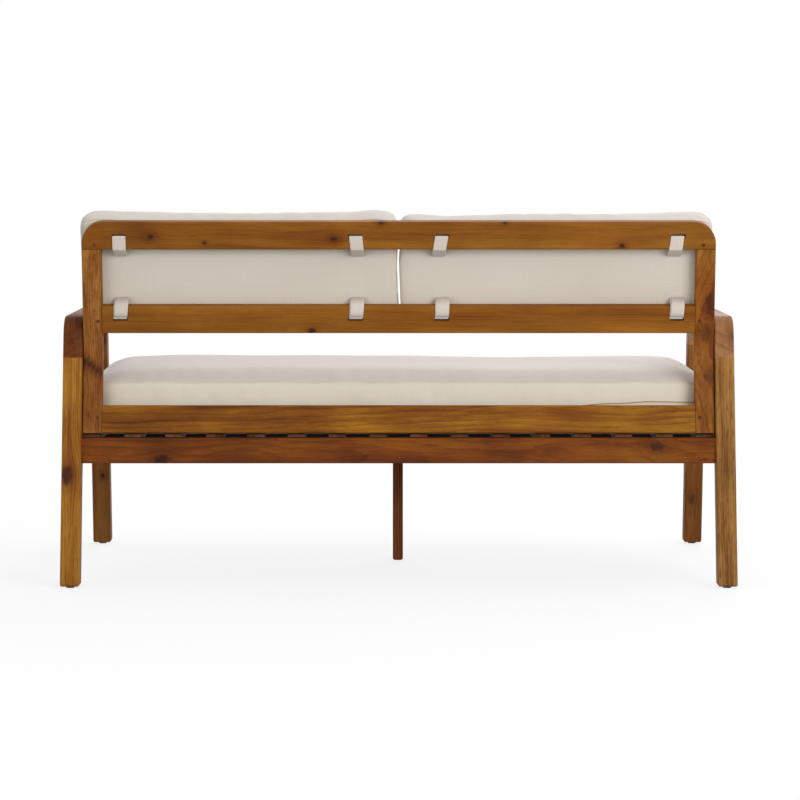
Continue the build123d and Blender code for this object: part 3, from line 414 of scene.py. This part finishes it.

# Seat frame: reddish rails of planed hardwood, tenoned and bolted between the legs, with
# cleats screwed inside them. A middle bearer runs under the slats, on a thin centre leg. Its
# near-black tone is painted shade for the gaps between the slats.
RAIL_TONES = (seen(66, 25, 2), seen(100, 47, 4), seen(132, 75, 11))
SHADE_DARK_BEARER_TONES = (seen(14, 6, 2), seen(27, 13, 6), seen(42, 23, 12))
CENTRE_TONES = (seen(74, 30, 8), seen(104, 52, 16), seen(128, 74, 32))
seat_rail_knots = [
    (0.470, 0.246, 0.004, 0.9), (0.460, 0.248, 0.005, 0.7), (-0.507, 0.272, 0.009, 0.75),
    (-0.30, 0.262, 0.012, 0.3),
]
dress(["seat_rear_rail", "seat_front_rail"], timber(
    "seat_rail_timber", WIDTHWAYS, UPRIGHT, RAIL_TONES, seat_rail_knots,
    pith=(0.25, -0.27), figure=1.3, fine=0.7,
))
dress(["side_rail_left", "side_rail_right"], timber("side_rail_timber", DEPTHWAYS, UPRIGHT, SHADED))
dress(["slat_cleat_rear", "slat_cleat_front"], timber("cleat_timber", WIDTHWAYS, UPRIGHT, SHADED))
# Painted shade: the bearer is near black so that the gaps between the slats read as shade
dress(["middle_bearer"], timber("shade_dark_bearer_timber", WIDTHWAYS, UPRIGHT, SHADE_DARK_BEARER_TONES))
dress(["centre_leg"], timber("centre_leg_timber", UPRIGHT, WIDTHWAYS, CENTRE_TONES, contrast=0.8))

# Slats: sixteen of a paler hardwood, laid front to back on the cleats and each held by two
# screws. They are cut from several boards, so that their tone changes from one to the next.
SLAT_TONES = (seen(82, 54, 38), seen(118, 84, 64), seen(142, 108, 86))
SLAT_PITCH = 0.0805
slats = [name for name in nodes if name.startswith("slat_") and name[5:].isdigit()]
# Their sides are darkened with painted shade, as they lie in shade under the cushion
dress(slats, timber(
    "slat_timber", DEPTHWAYS, WIDTHWAYS, SLAT_TONES,
    board=(WIDTHWAYS, SLAT_PITCH), painted_side_shade=0.9,
))

# Backrest: two bent posts and three rails of oiled hardwood, tenoned and pinned with dark
# pegs. The rails are golden boards with small knots, and the posts have a livelier figure.
RECLINE = math.radians(9.5)
LEFT_POST = (seen(84, 40, 10), seen(133, 81, 27), seen(172, 122, 62))
RIGHT_POST = (seen(84, 36, 4), seen(128, 75, 18), seen(164, 108, 40))
BACK_TONES = (seen(101, 52, 4), seen(131, 80, 15), seen(157, 104, 30))
LOW_TONES = (seen(82, 34, 1), seen(124, 72, 6), seen(162, 110, 20))
PEG_TONES = (seen(52, 26, 12), seen(84, 46, 22), seen(112, 68, 36))
left_post_knots = [
    (0.438, 0.617, 0.0036, 0.6), (0.433, 0.610, 0.0038, 0.65), (0.427, 0.603, 0.0040, 0.65),
    (0.421, 0.596, 0.0036, 0.6), (0.416, 0.589, 0.0030, 0.5),
]
right_post_knots = [
    (0.557, -0.616, 0.013, 0.45), (0.492, -0.606, 0.014, 0.5), (0.41, -0.612, 0.010, 0.4),
]
top_rail_knots = [
    (0.487, 0.684, 0.0046, 1.0), (0.380, 0.672, 0.0026, 1.0), (0.126, 0.680, 0.0046, 1.0),
    (0.035, 0.7125, 0.0040, 0.9), (-0.208, 0.712, 0.0025, 0.9), (-0.437, 0.666, 0.0042, 0.9),
]
dress(["back_post_left"], timber(
    "left_post_timber", UPRIGHT, WIDTHWAYS, LEFT_POST, left_post_knots,
    pith=(0.25, 0.31), contrast=1.2,
))
dress(["back_post_right"], timber(
    "right_post_timber", UPRIGHT, WIDTHWAYS, RIGHT_POST, right_post_knots,
    pith=(-0.70, 0.20), contrast=1.1, figure=1.3, fine=0.6,
))
dress(["back_top_rail"], timber(
    "top_rail_timber", WIDTHWAYS, UPRIGHT, BACK_TONES, top_rail_knots, contrast=0.8,
))
dress(["back_mid_rail"], timber(
    "mid_rail_timber", WIDTHWAYS, UPRIGHT, BACK_TONES, [(0.171, 0.499, 0.0048, 0.9)], contrast=0.7,
))
dress(["back_low_rail"], timber(
    "low_rail_timber", WIDTHWAYS, UPRIGHT, LOW_TONES,
    pith=(0.36, -0.24), contrast=1.1, figure=1.3, fine=0.6,
))
dress(["tenon_pins", "arm_dowels"], timber("peg_timber", DEPTHWAYS, UPRIGHT, PEG_TONES))

# Hardware: zinc-plated steel bolts from the legs' outer sides into barrel nuts, and yellow-
# passivated wood screws in the slats and cleats. Their heads are sunk in the timber.
for metal_name, metal_colour, metal_nodes in (
    ("zinc_plate", seen(186, 188, 190), ["frame_bolts", "barrel_nuts"]),
    ("yellow_zinc", seen(196, 172, 104), ["slat_screws", "cleat_screws"]),
):
    metal, line, feed = finish_called(metal_name)
    spangle = line.here().mottle(420.0, 3.0, 0.6)
    feed(
        Base_Color=spangle.ease(0.3, 0.7).blend(metal_colour, seen(150, 148, 142)),
        Metallic=1.0,
        Roughness=0.28 + spangle * 0.22,
        Normal=spangle.bump(0.00005, 0.4),
    )
    dress(metal_nodes, metal)


# Seat cushion: a boxed cushion as wide as the seat, in cream woven polyester over foam.
# Its top panel is crowned, its sides stand 100 mm high, and a zip runs along the rear side.
YARN_PITCH = 0.0011
RIB_PITCH = 0.0024
# A slub's cells in a metre along its yarn and across it
SLUB_LONG, SLUB_FINE = 14.0, 420.0


def woven_cloth(name, pale, deep, tape=False, painted_sky_tint=None):
    """Plain-woven cloth with faint slubs, and a painted lilac reflection of the sky where it faces
    up. Tape is ribbed as well.
    """
    material, line, feed = finish_called(name)
    place = line.here()
    x, y, z = (place.dot(axis) for axis in (WIDTHWAYS, DEPTHWAYS, UPRIGHT))
    yarns = sum(line.maths("SINE", part * (2 * math.pi / YARN_PITCH)) for part in (x, y, z))
    slubs = x.stretched(y, z, SLUB_LONG, SLUB_FINE).mottle(1.0, 3.0, 0.6)
    crossed = x.stretched(y, z, SLUB_FINE, SLUB_LONG).mottle(1.0, 3.0, 0.6)
    clouds = place.mottle(6.0, 2.0)
    share = (slubs + crossed - 1.0) * 0.35 + (clouds - 0.5) * 0.9 + 0.5
    relief = yarns * 0.25 + slubs + crossed
    if tape:
        ribs = line.maths("SINE", x * (2 * math.pi / RIB_PITCH))
        relief = relief + ribs
        share = share + ribs * 0.14
    colour = share.ease(0.0, 1.0).blend(pale, deep)
    # Painted reflection: faces turned up take a cool lilac tint, as if the sky shone off them
    if painted_sky_tint:
        facing_up = line.make("ShaderNodeNewGeometry", {}, {}, "Normal").dot(UPRIGHT)
        colour = facing_up.ease(0.86, 0.98, 0.0, 0.9).blend(colour, painted_sky_tint)
    feed(
        Base_Color=colour,
        Roughness=0.86 + slubs * 0.1,
        Normal=relief.bump(0.0002, 0.6),
        Sheen_Weight=0.30,
        Sheen_Roughness=0.35,
        Sheen_Tint=(0.88, 0.82, 1.0, 1.0),
        Specular_IOR_Level=0.2,
    )
    return material


def table_at(table, place):
    """A value from a short table of (place, value) rows, eased between its rows."""
    rows = sorted(table)
    if place <= rows[0][0]:
        return rows[0][1]
    for (low, low_value), (high, high_value) in zip(rows, rows[1:]):
        if place <= high:
            share = (place - low) / (high - low)
            return low_value + (high_value - low_value) * share * share * (3 - 2 * share)
    return rows[-1][1]


# A point of a cover whose share of the half size is past this lies on that side of it
ON_SIDE = 0.999


def sewn_box(name, size, corner, cell, shape):
    """A closed cover of square cells: two panels and a boxing strip, before it is filled.

    shape takes a point of the plain rounded box, how far it is in from the sides, and where
    it is between them, and returns its place. Also returns the points of the two seams.
    """
    counts = [max(2, round(length / cell)) for length in size]
    index = {}
    faces = []
    for axis in range(3):
        first, second = [other for other in range(3) if other != axis]
        for a in range(counts[first]):
            for b in range(counts[second]):
                for end in (0, counts[axis]):
                    quad = []
                    for step_a, step_b in ((0, 0), (1, 0), (1, 1), (0, 1)):
                        lattice = [0, 0, 0]
                        lattice[axis], lattice[first], lattice[second] = end, a + step_a, b + step_b
                        quad.append(index.setdefault(tuple(lattice), len(index)))
                    outward = (end > 0) != (axis == 1)
                    faces.append(quad if outward else quad[::-1])
    half_x, half_y, half_z = (length / 2 for length in size)
    points = []
    seams = {-1: [], 1: []}
    for lattice, order in index.items():
        share = [2 * lattice[axis] / counts[axis] - 1 for axis in range(3)]
        x, y, z = share[0] * half_x, share[1] * half_y, share[2] * half_z
        level = max(abs(share[0]), abs(share[1]))
        if level > 0:
            rim = Vector((share[0] / level * half_x, share[1] / level * half_y))
            centre = Vector((math.copysign(half_x - corner, x), math.copysign(half_y - corner, y)))
            if abs(rim.x) > half_x - corner and abs(rim.y) > half_y - corner:
                away = rim - centre
                rounded = centre + away * (corner / max(away.length, corner))
                x += (rounded.x - rim.x) * level ** 4
                y += (rounded.y - rim.y) * level ** 4
        inset = (half_x * (1 - abs(share[0])), half_y * (1 - abs(share[1])))
        points.append(shape(Vector((x, y, z)), inset, share))
        if level > ON_SIDE and abs(share[2]) > ON_SIDE:
            seams[round(share[2])].append((math.atan2(y * half_x / half_y, x), order))
    piece = shaped(name, points, faces)
    rims = {side: [order for angle, order in sorted(rows)] for side, rows in seams.items()}
    piece.vertex_groups.new(name="seams").add(rims[-1] + rims[1], 1.0, "REPLACE")
    return piece, rims


FILL_FRAMES = 20


def fill(piece, pressure, slack, cap):
    """Blow a sewn cover up with cloth simulation, but move no point further than a cap."""
    start = [vertex.co.copy() for vertex in piece.data.vertices]
    scene = bpy.context.scene
    cloth = piece.modifiers.new("filling", "CLOTH")
    cloth.settings.quality = 6
    cloth.settings.mass = 0.3
    cloth.settings.tension_stiffness = 25
    cloth.settings.compression_stiffness = 25
    cloth.settings.shear_stiffness = 8
    cloth.settings.bending_stiffness = 0.8
    cloth.settings.use_pressure = True
    cloth.settings.uniform_pressure_force = pressure
    cloth.settings.shrink_min = -slack
    cloth.settings.effector_weights.gravity = 0.0
    cloth.settings.vertex_group_mass = "seams"
    cloth.settings.pin_stiffness = 0.8
    cloth.point_cache.frame_start = 1
    cloth.point_cache.frame_end = FILL_FRAMES
    for frame_number in range(1, FILL_FRAMES + 1):
        scene.frame_set(frame_number)
    settled = piece.evaluated_get(bpy.context.evaluated_depsgraph_get())
    blown = [vertex.co.copy() for vertex in settled.data.vertices]
    piece.modifiers.remove(cloth)
    scene.frame_set(1)
    for vertex, before, after in zip(piece.data.vertices, start, blown):
        move = after - before
        if move.length > cap:
            move = move * (cap / move.length)
        vertex.co = before + move
    piece.data.update()


def finish_cover(piece, cloth_material):
    """One level of subdivision, smooth shading and its cloth."""
    smooth = piece.modifiers.new("smooth", "SUBSURF")
    smooth.levels = smooth.render_levels = 1
    piece.data.shade_smooth()
    piece.data.materials.append(cloth_material)


def headings(route, closed):
    """The way that a route runs at each of its points."""
    ways = []
    last = len(route) - 1
    for place in range(len(route)):
        before = route[place - 1] if closed or place else route[0]
        after = route[(place + 1) % len(route)] if closed or place < last else route[last]
        ways.append((after - before).normalized())
    return ways


THREAD_SIDES = 8


def thread(name, route, radius, material, closed=True):
    """A sewn line or zip: a fine tube along a route."""
    points = []
    faces = []
    for spot, heading in zip(route, headings(route, closed)):
        level = heading.cross(UPRIGHT)
        level = (level if level.length > 0.05 else heading.cross(DEPTHWAYS)).normalized()
        rise = level.cross(heading)
        for side in range(THREAD_SIDES):
            turn = 2 * math.pi * side / THREAD_SIDES
            out, up = radius * math.cos(turn), radius * math.sin(turn)
            points.append(spot + level * out + rise * up)
    count = len(route)
    for place in range(count if closed else count - 1):
        here, there = place * THREAD_SIDES, (place + 1) % count * THREAD_SIDES
        for side in range(THREAD_SIDES):
            beyond = (side + 1) % THREAD_SIDES
            faces.append((here + side, here + beyond, there + beyond, there + side))
    if not closed:
        faces.append(tuple(range(THREAD_SIDES))[::-1])
        faces.append(tuple((count - 1) * THREAD_SIDES + side for side in range(THREAD_SIDES)))
    piece = shaped(name, points, faces)
    piece.data.shade_smooth()
    piece.data.materials.append(material)
    return piece


def sewn_seams(piece, rims, body, material, radius):
    """A line of thread along both seams of a finished cover."""
    shown = piece.evaluated_get(bpy.context.evaluated_depsgraph_get()).to_mesh()
    spots = [shown.vertices[order].co.copy() for order in range(len(piece.data.vertices))]
    for side, seam_name in ((-1, "first"), (1, "second")):
        route = [spots[order] for order in rims[side]]
        seam = thread(f"{piece.name}_{seam_name}_seam", route, radius, material)
        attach(seam, body)


SEAT_LOW, SEAT_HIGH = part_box("seat_cover")
SEAT_CENTRE = (SEAT_LOW + SEAT_HIGH) / 2
SEAT_BOXING = 0.100
# The filling lifts the crown by this much, so the cover starts lower
SEAT_BLOWN = 0.0037
SEAT_CROWN = SEAT_HIGH.z - SEAT_LOW.z - SEAT_BOXING - SEAT_BLOWN
# How far the sides are drawn in at the seams, what they get back between them, and how much
# further in they lie midway along the long and the short sides
SEAT_DRAW = 0.0040
SEAT_BELLY = 0.0045
SEAT_LONG_PULL = 0.002
SEAT_SHORT_PULL = 0.0015
# The top rises from its ends within a reach, and from its long sides in a shoulder, a lip
# and an arch, which share its height
SEAT_END_REACH = 0.0270
SEAT_SHOULDER, SHOULDER_SHARE = 0.060, 0.5
SEAT_LIP, LIP_SHARE = 0.012, 0.12
SEAT_ARCH, ARCH_SHARE = 2.6, 0.38
# How the crown has settled along the width: place in metres, height in metres
SEAT_SETTLED = (
    (-0.62, 0.0), (-0.50, -0.0032), (-0.43, -0.004), (-0.31, -0.0056), (-0.236, -0.0062),
    (-0.11, -0.004), (0.0, -0.002), (0.21, -0.0015), (0.45, -0.0005), (0.53, -0.0022),
    (0.62, -0.0015),
)
SEAT_DIMPLES = 0.0015
SEAT_RIPPLES = 0.002


def seat_shape(point, inset, share):
    """The seat cover: drawn-in sides, a crowned top and a flat bottom."""
    pull = SEAT_LONG_PULL * math.cos(share[0] * math.pi / 2)
    pull += SEAT_SHORT_PULL * math.cos(share[1] * math.pi / 2)
    outward = Vector((point.x, point.y, 0.0)).normalized()
    edge = max(abs(share[0]), abs(share[1])) ** 6
    inward = SEAT_DRAW + pull - SEAT_BELLY * (1 - share[2] ** 4)
    x = point.x - outward.x * edge * inward
    y = point.y - outward.y * edge * inward
    z = point.z + SEAT_BOXING / 2
    if share[2] > ON_SIDE:
        shoulder = 1 - math.exp(-inset[1] / SEAT_SHOULDER)
        lip = 1 - math.exp(-inset[1] / SEAT_LIP)
        arch = 1 - abs(share[1]) ** SEAT_ARCH
        rise = SHOULDER_SHARE * shoulder + LIP_SHARE * lip + ARCH_SHARE * arch
        rise *= 1 - math.exp(-inset[0] / SEAT_END_REACH)
        z += (SEAT_CROWN + table_at(SEAT_SETTLED, x)) * rise
        z += SEAT_DIMPLES * noise.noise(Vector((x * 6, y * 6, 1.7))) * rise
    ripple = noise.noise(Vector((x * 14, y * 14, z * 9)))
    return (x + SEAT_CENTRE.x, y + SEAT_CENTRE.y, z + SEAT_LOW.z + SEAT_RIPPLES * ripple * edge)


# The filled ends keep this far inside the cushion's box
SEAT_END_ROOM = 0.0005
seat_size = (SEAT_HIGH.x - SEAT_LOW.x, SEAT_HIGH.y - SEAT_LOW.y, SEAT_BOXING)
seat_cushion, seat_rims = sewn_box(
    "seat_cushion", seat_size, corner=0.050, cell=0.0125, shape=seat_shape
)
fill(seat_cushion, pressure=2.5, slack=0.004, cap=0.003)
for vertex in seat_cushion.data.vertices:
    spot = vertex.co
    spot.z = max(spot.z, SEAT_LOW.z)
    spot.x = max(SEAT_LOW.x + SEAT_END_ROOM, min(SEAT_HIGH.x - SEAT_END_ROOM, spot.x))
# Where the seat faces up it takes a painted lilac reflection of the sky
seat_cloth = woven_cloth(
    "seat_cloth", seen(221, 212, 196), seen(211, 202, 185), painted_sky_tint=seen(219, 210, 200)
)
finish_cover(seat_cushion, seat_cloth)
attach(seat_cushion, "seat_cushion")
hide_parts("seat_cover", "seat_foam")
sewn_seams(seat_cushion, seat_rims, "seat_cushion", seat_cloth, radius=0.0007)

# The zip's line along the rear boxing: place along the width, height above the slats
ZIP_LINE = (
    (-0.595, 0.0605), (-0.50, 0.0620), (-0.43, 0.0585), (-0.30, 0.050), (0.0, 0.047), (0.56, 0.048),
)
ZIP_STEPS = 180
ZIP_RADIUS = 0.0010
# Radians in a metre, for a tooth every 2.5 mm
ZIP_TEETH = 2500.0
zip_dye, line, feed = finish_called("zip_tape")
teeth = line.maths("SINE", line.here().dot(WIDTHWAYS) * ZIP_TEETH)
feed(
    Base_Color=teeth.ease(-1.0, 1.0).blend(seen(150, 92, 52), seen(186, 140, 98)),
    Roughness=0.6 + teeth * 0.1,
    Normal=teeth.bump(0.0002, 0.5),
)
surface = BVHTree.FromObject(seat_cushion, bpy.context.evaluated_depsgraph_get())
zip_route = []
for step in range(ZIP_STEPS + 1):
    x = ZIP_LINE[0][0] + (ZIP_LINE[-1][0] - ZIP_LINE[0][0]) * step / ZIP_STEPS
    behind = Vector((x, 1.0, SEAT_LOW.z + table_at(ZIP_LINE, x)))
    zip_route.append(surface.ray_cast(behind, -DEPTHWAYS)[0])
seat_zip = thread("seat_zip_line", zip_route, ZIP_RADIUS, zip_dye, closed=False)
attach(seat_zip, "seat_cushion")


# Back cushions: two smaller boxed cushions of the same polyester and foam, tied to the rails
# and leaning on them. Each is made lying flat and then stood up on the backrest's slope.
KNEE = Vector((0.0, 0.28105, 0.463))
# From the posts' knee: across, up the backrest's slope, and square to it towards the sitter
SLOPE = Matrix.Translation(KNEE) @ Matrix((
    (1, 0, 0, 0),
    (0, math.sin(RECLINE), -math.cos(RECLINE), 0),
    (0, math.cos(RECLINE), math.sin(RECLINE), 0),
    (0, 0, 0, 1),
))
BACK_FOOT = 0.0225
BACK_TOP = 0.2555
BACK_REAR = 0.02595
BACK_THICK = 0.116
BACK_BOXING = 0.094
# How far the crown of the panel on the rails stands, and within what reach both crowns rise
BACK_REAR_CROWN = 0.004
BACK_CROWN_REACH = 0.022
# How far the outer ends are drawn in, how much more midway up them, how far the top and the
# foot are, and what all of them get back between the seams. The inner ends keep their play.
BACK_END_DRAW = 0.003
BACK_END_PULL = 0.003
BACK_EDGE_DRAW = 0.005
BACK_BELLY = 0.006
INNER_PLAY = 0.0003
# The outer ends above the arms: the height from the cushion's middle at which they clear
# the arm, the height within which they change, and how far they stand out there
ARM_CLEARED = -0.0305
ARM_CHANGE = 0.05
OVER_ARM = {"left": 0.006, "right": -0.003}
BACK_RIPPLES = 0.0015
# How the gap between the cushions wanders sideways, by height on the cushion
GAP_WAVE = (
    (-0.115, -0.0032), (-0.082, -0.0032), (-0.035, -0.0008), (0.015, 0.0010), (0.055, -0.0006),
    (0.12, 0.0),
)
# How each upper edge stands along the width: place in metres, height in metres
BACK_SETTLED = {
    "left": (
        (0.0, -0.002), (0.03, 0.0004), (0.045, 0.0010), (0.108, -0.0022), (0.17, -0.0024),
        (0.267, -0.0028), (0.394, -0.0030), (0.52, -0.0016), (0.60, 0.001),
    ),
    "right": (
        (-0.60, -0.0016), (-0.543, -0.003), (-0.479, -0.005), (-0.40, -0.0060), (-0.32, -0.0042),
        (-0.241, -0.0044), (-0.162, -0.0080), (-0.098, -0.0105), (-0.035, -0.0065), (0.0, -0.0065),
    ),
}
# The back cloth is the seat's cloth painted a shade darker: painted shade, as the backs' rear faces
# take less light than the seat
shaded_back_cloth = woven_cloth("shaded_back_cloth", seen(214, 206, 193), seen(205, 196, 182))
thread_dye, line, feed = finish_called("seam_thread")
twist = line.here().mottle(900.0, 2.0)
feed(
    Base_Color=twist.blend(seen(206, 188, 164), seen(184, 162, 134)),
    Roughness=0.8 + twist * 0.1,
    Normal=twist.bump(0.0001, 0.5),
)

for hand, towards in (("left", 1), ("right", -1)):
    low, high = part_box(f"back_cover_{hand}")
    middle_x = (low.x + high.x) / 2

    def back_shape(point, inset, share, hand=hand, towards=towards, middle_x=middle_x):
        """A back cover: drawn-in sides, a full front and a rear side flat on the rails."""
        outward = Vector((point.x, point.y, 0.0)).normalized()
        edge = max(abs(share[0]), abs(share[1])) ** 6
        bulge = 1 - share[2] ** 2
        inner_end = point.x * towards < 0
        pull = BACK_END_DRAW + BACK_END_PULL * math.cos(share[1] * math.pi / 2) - BACK_BELLY * bulge
        x = point.x - outward.x * edge * (INNER_PLAY if inner_end else pull)
        y = point.y - outward.y * edge * (BACK_EDGE_DRAW - BACK_BELLY * bulge)
        if inner_end:
            x += table_at(GAP_WAVE, y) * abs(share[0]) ** 12
        if share[1] > 0:
            y += table_at(BACK_SETTLED[hand], x + middle_x) * share[1] ** 2
        if x * towards > 0:
            above_arm = max(0.0, min(1.0, (y - ARM_CLEARED) / ARM_CHANGE))
            x += towards * above_arm * OVER_ARM[hand] * abs(share[0]) ** 8
        z = point.z + BACK_REAR + BACK_BOXING / 2 + BACK_REAR_CROWN
        rise = math.prod(1 - math.exp(-part / BACK_CROWN_REACH) for part in inset)
        if share[2] > ON_SIDE:
            z += (BACK_THICK - BACK_BOXING - 2 * BACK_REAR_CROWN) * rise
        if share[2] < -ON_SIDE:
            z -= BACK_REAR_CROWN * rise
        ripple = noise.noise(Vector((x * 16, y * 16, z * 11 + middle_x)))
        return (x, y, z + BACK_RIPPLES * ripple * edge)

    back_name = f"back_cushion_{hand}"
    back_size = (high.x - low.x, BACK_TOP - BACK_FOOT, BACK_BOXING)
    back_cushion, back_rims = sewn_box(
        back_name, back_size, corner=0.024, cell=0.0100, shape=back_shape
    )
    fill(back_cushion, pressure=2.0, slack=0.004, cap=0.004)
    for vertex in back_cushion.data.vertices:
        spot = vertex.co
        spot.z = max(spot.z, BACK_REAR)
        end = table_at(GAP_WAVE, spot.y) - towards * (back_size[0] / 2 - INNER_PLAY)
        spot.x = max(spot.x, end) if towards > 0 else min(spot.x, end)
    stand = SLOPE @ Matrix.Translation((middle_x, (BACK_FOOT + BACK_TOP) / 2, 0.0))
    back_cushion.data.transform(stand)
    back_cushion.data.update()
    finish_cover(back_cushion, shaded_back_cloth)
    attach(back_cushion, back_name)
    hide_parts(f"back_cover_{hand}", f"back_foam_{hand}")
    sewn_seams(back_cushion, back_rims, back_name, thread_dye, radius=0.0006)


# Straps: cream woven tape 26 mm wide, from a cushion through a slot and round the rail's
# near edge. The lower ones are folded back over themselves, so they show a second layer.
TAPE_WIDTH = 0.026
TAPE_THICK = 0.0013
TAPE_BEND = 0.0022
BEND_STEPS = 5
# The tape's section: shares of its width, and how thin its two selvedges are
TAPE_SHARES = (-0.5, -0.44, -0.15, 0.15, 0.44, 0.5)
SELVEDGE = 0.72
FRAY = 0.0004
tape_cloth = woven_cloth("cream_tape", seen(218, 208, 197), seen(202, 191, 179), tape=True)


def rounded_route(corners, radius):
    """A closed route in the side view, with an arc of short steps at each corner."""
    route = []
    befores = corners[-1:] + corners[:-1]
    afters = corners[1:] + corners[:1]
    for before, corner, after in zip(befores, corners, afters):
        into = (corner - before).normalized()
        out = (after - corner).normalized()
        turn = math.acos(max(-1.0, min(1.0, into.dot(out))))
        reach = min(radius * math.tan(turn / 2), 0.45 * (corner - before).length)
        start, end = corner - into * reach, corner + out * reach
        for step in range(BEND_STEPS + 1):
            share = step / BEND_STEPS
            route.append(start.lerp(corner, share).lerp(corner.lerp(end, share), share))
    return route


def tape_strip(name, corners, centre_x, lean, closed=True):
    """A strip of tape along a route given as (forward, up) in the backrest's slope."""
    route = [Vector(corner) for corner in corners]
    if closed:
        route = rounded_route(route, TAPE_BEND)
    points = []
    faces = []
    for spot, heading in zip(route, headings(route, closed)):
        normal = Vector((heading.y, -heading.x))
        for side in (1, -1):
            for way in TAPE_SHARES:
                thin = SELVEDGE if abs(way) == 0.5 else 1.0
                off = spot + normal * (side * TAPE_THICK / 2 * thin)
                fray = FRAY * noise.noise(Vector((centre_x * 90, spot.y * 300, way * 9)))
                x = centre_x + way * TAPE_WIDTH + lean * (spot.y - corners[0][1]) + fray
                points.append(SLOPE @ Vector((x, off.y, off.x)))
    rows = len(TAPE_SHARES)
    ring = 2 * rows
    count = len(route)
    for place in range(count if closed else count - 1):
        here, there = place * ring, (place + 1) % count * ring
        here_back, there_back = here + rows, there + rows
        for a, b in zip(range(rows - 1), range(1, rows)):
            faces.append((here + a, here + b, there + b, there + a))
            faces.append((here_back + b, here_back + a, there_back + a, there_back + b))
        faces.append((here_back, here, there, there_back))
        faces.append((here_back - 1, here + ring - 1, there + ring - 1, there_back - 1))
    if not closed:
        last = (count - 1) * ring
        for a, b in zip(range(rows - 1), range(1, rows)):
            faces.append((b, a, rows + a, rows + b))
            faces.append((last + a, last + b, last + rows + b, last + rows + a))
    piece = shaped(name, points, faces)
    piece.data.shade_smooth()
    piece.data.materials.append(tape_cloth)
    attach(piece, "frame")
    return piece


RAIL_THICK = 0.024
TAPE_OFF = 0.00025 + TAPE_THICK / 2
SLOT_HALF = 0.0023
SLOT_DROP = 0.0012
# A level slot's end at either face lies this far up or down the slope from its middle
SLOPE_OF_SLOT = math.tan(RECLINE) * RAIL_THICK / 2
# Place and lean of each strap towards the sitter's left as it goes down: inner and outer
STRAP_OUT = {"left": (0.0842, 0.5475), "right": (0.0842, 0.5455)}
STRAP_LEANS = {
    "top": {"left": (-0.10, -0.02), "right": (0.16, 0.12)},
    "mid": {"left": (0.05, 0.04), "right": (0.02, 0.05)},
}
# How the folded-back end of a lower strap lies off the first layer, sideways and in lean
END_ASIDE = 0.0014
END_LEAN = 0.03
# Each rail's foot and top on the slope, the way its straps go out, and their reach past it
for rail, rail_low, rail_high, way_out, reach in (
    ("top", 0.1985, 0.2535, -1, 0.0175), ("mid", 0.0305, 0.0855, 1, 0.0110)
):
    slot_up = (rail_low + rail_high) / 2 - SLOT_DROP + way_out * (SLOT_HALF - TAPE_OFF)
    edge_up = rail_low if way_out < 0 else rail_high
    front = RAIL_THICK + TAPE_OFF
    # Along the rear of the rail, round its edge to the cushion and back through the slot
    corners = [
        (-TAPE_OFF, slot_up + SLOPE_OF_SLOT),
        (-TAPE_OFF, edge_up + way_out * TAPE_OFF * 0.6),
        (front, edge_up + way_out * (reach + TAPE_OFF * 1.3)),
        (front, slot_up - SLOPE_OF_SLOT),
    ]
    for hand, towards in (("left", 1), ("right", -1)):
        for place, end_name in enumerate(("inner", "outer")):
            name = f"strap_{rail}_{hand}_{end_name}"
            x = towards * STRAP_OUT[hand][place]
            lean = -STRAP_LEANS[rail][hand][place]
            strap = tape_strip(name, corners, x, lean)
            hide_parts(f"straps_{rail}_{hand}")
            if rail == "mid":
                # The end lies on the first layer behind the rail and follows it over the top
                over = [
                    (-TAPE_OFF - TAPE_THICK, slot_up + 0.0055),
                    (-TAPE_OFF - TAPE_THICK * 1.25, (slot_up + edge_up) / 2),
                    (-TAPE_OFF - TAPE_THICK * 1.05, edge_up - 0.0005),
                    (0.003, edge_up + 0.0042),
                    (RAIL_THICK - 0.002, edge_up + reach + 0.0016),
                ]
                tape_strip(f"{name}_end", over, x - END_ASIDE, lean - END_LEAN, closed=False)

# Zip pulls: cast sliders with a hanging tab, enamelled in the colour of the cloth. Each sits
# on the zip that closes its back cushion's lower rear edge.
enamel, line, feed = finish_called("cream_enamel")
chips = line.here().mottle(600.0, 3.0)
feed(
    Base_Color=chips.ease(0.62, 0.70).blend(seen(216, 208, 192), seen(120, 112, 100)),
    Roughness=0.35 + chips * 0.2,
    Normal=chips.bump(0.00006, 0.5),
)
dress(["zip_pull_left", "zip_pull_right"], enamel)
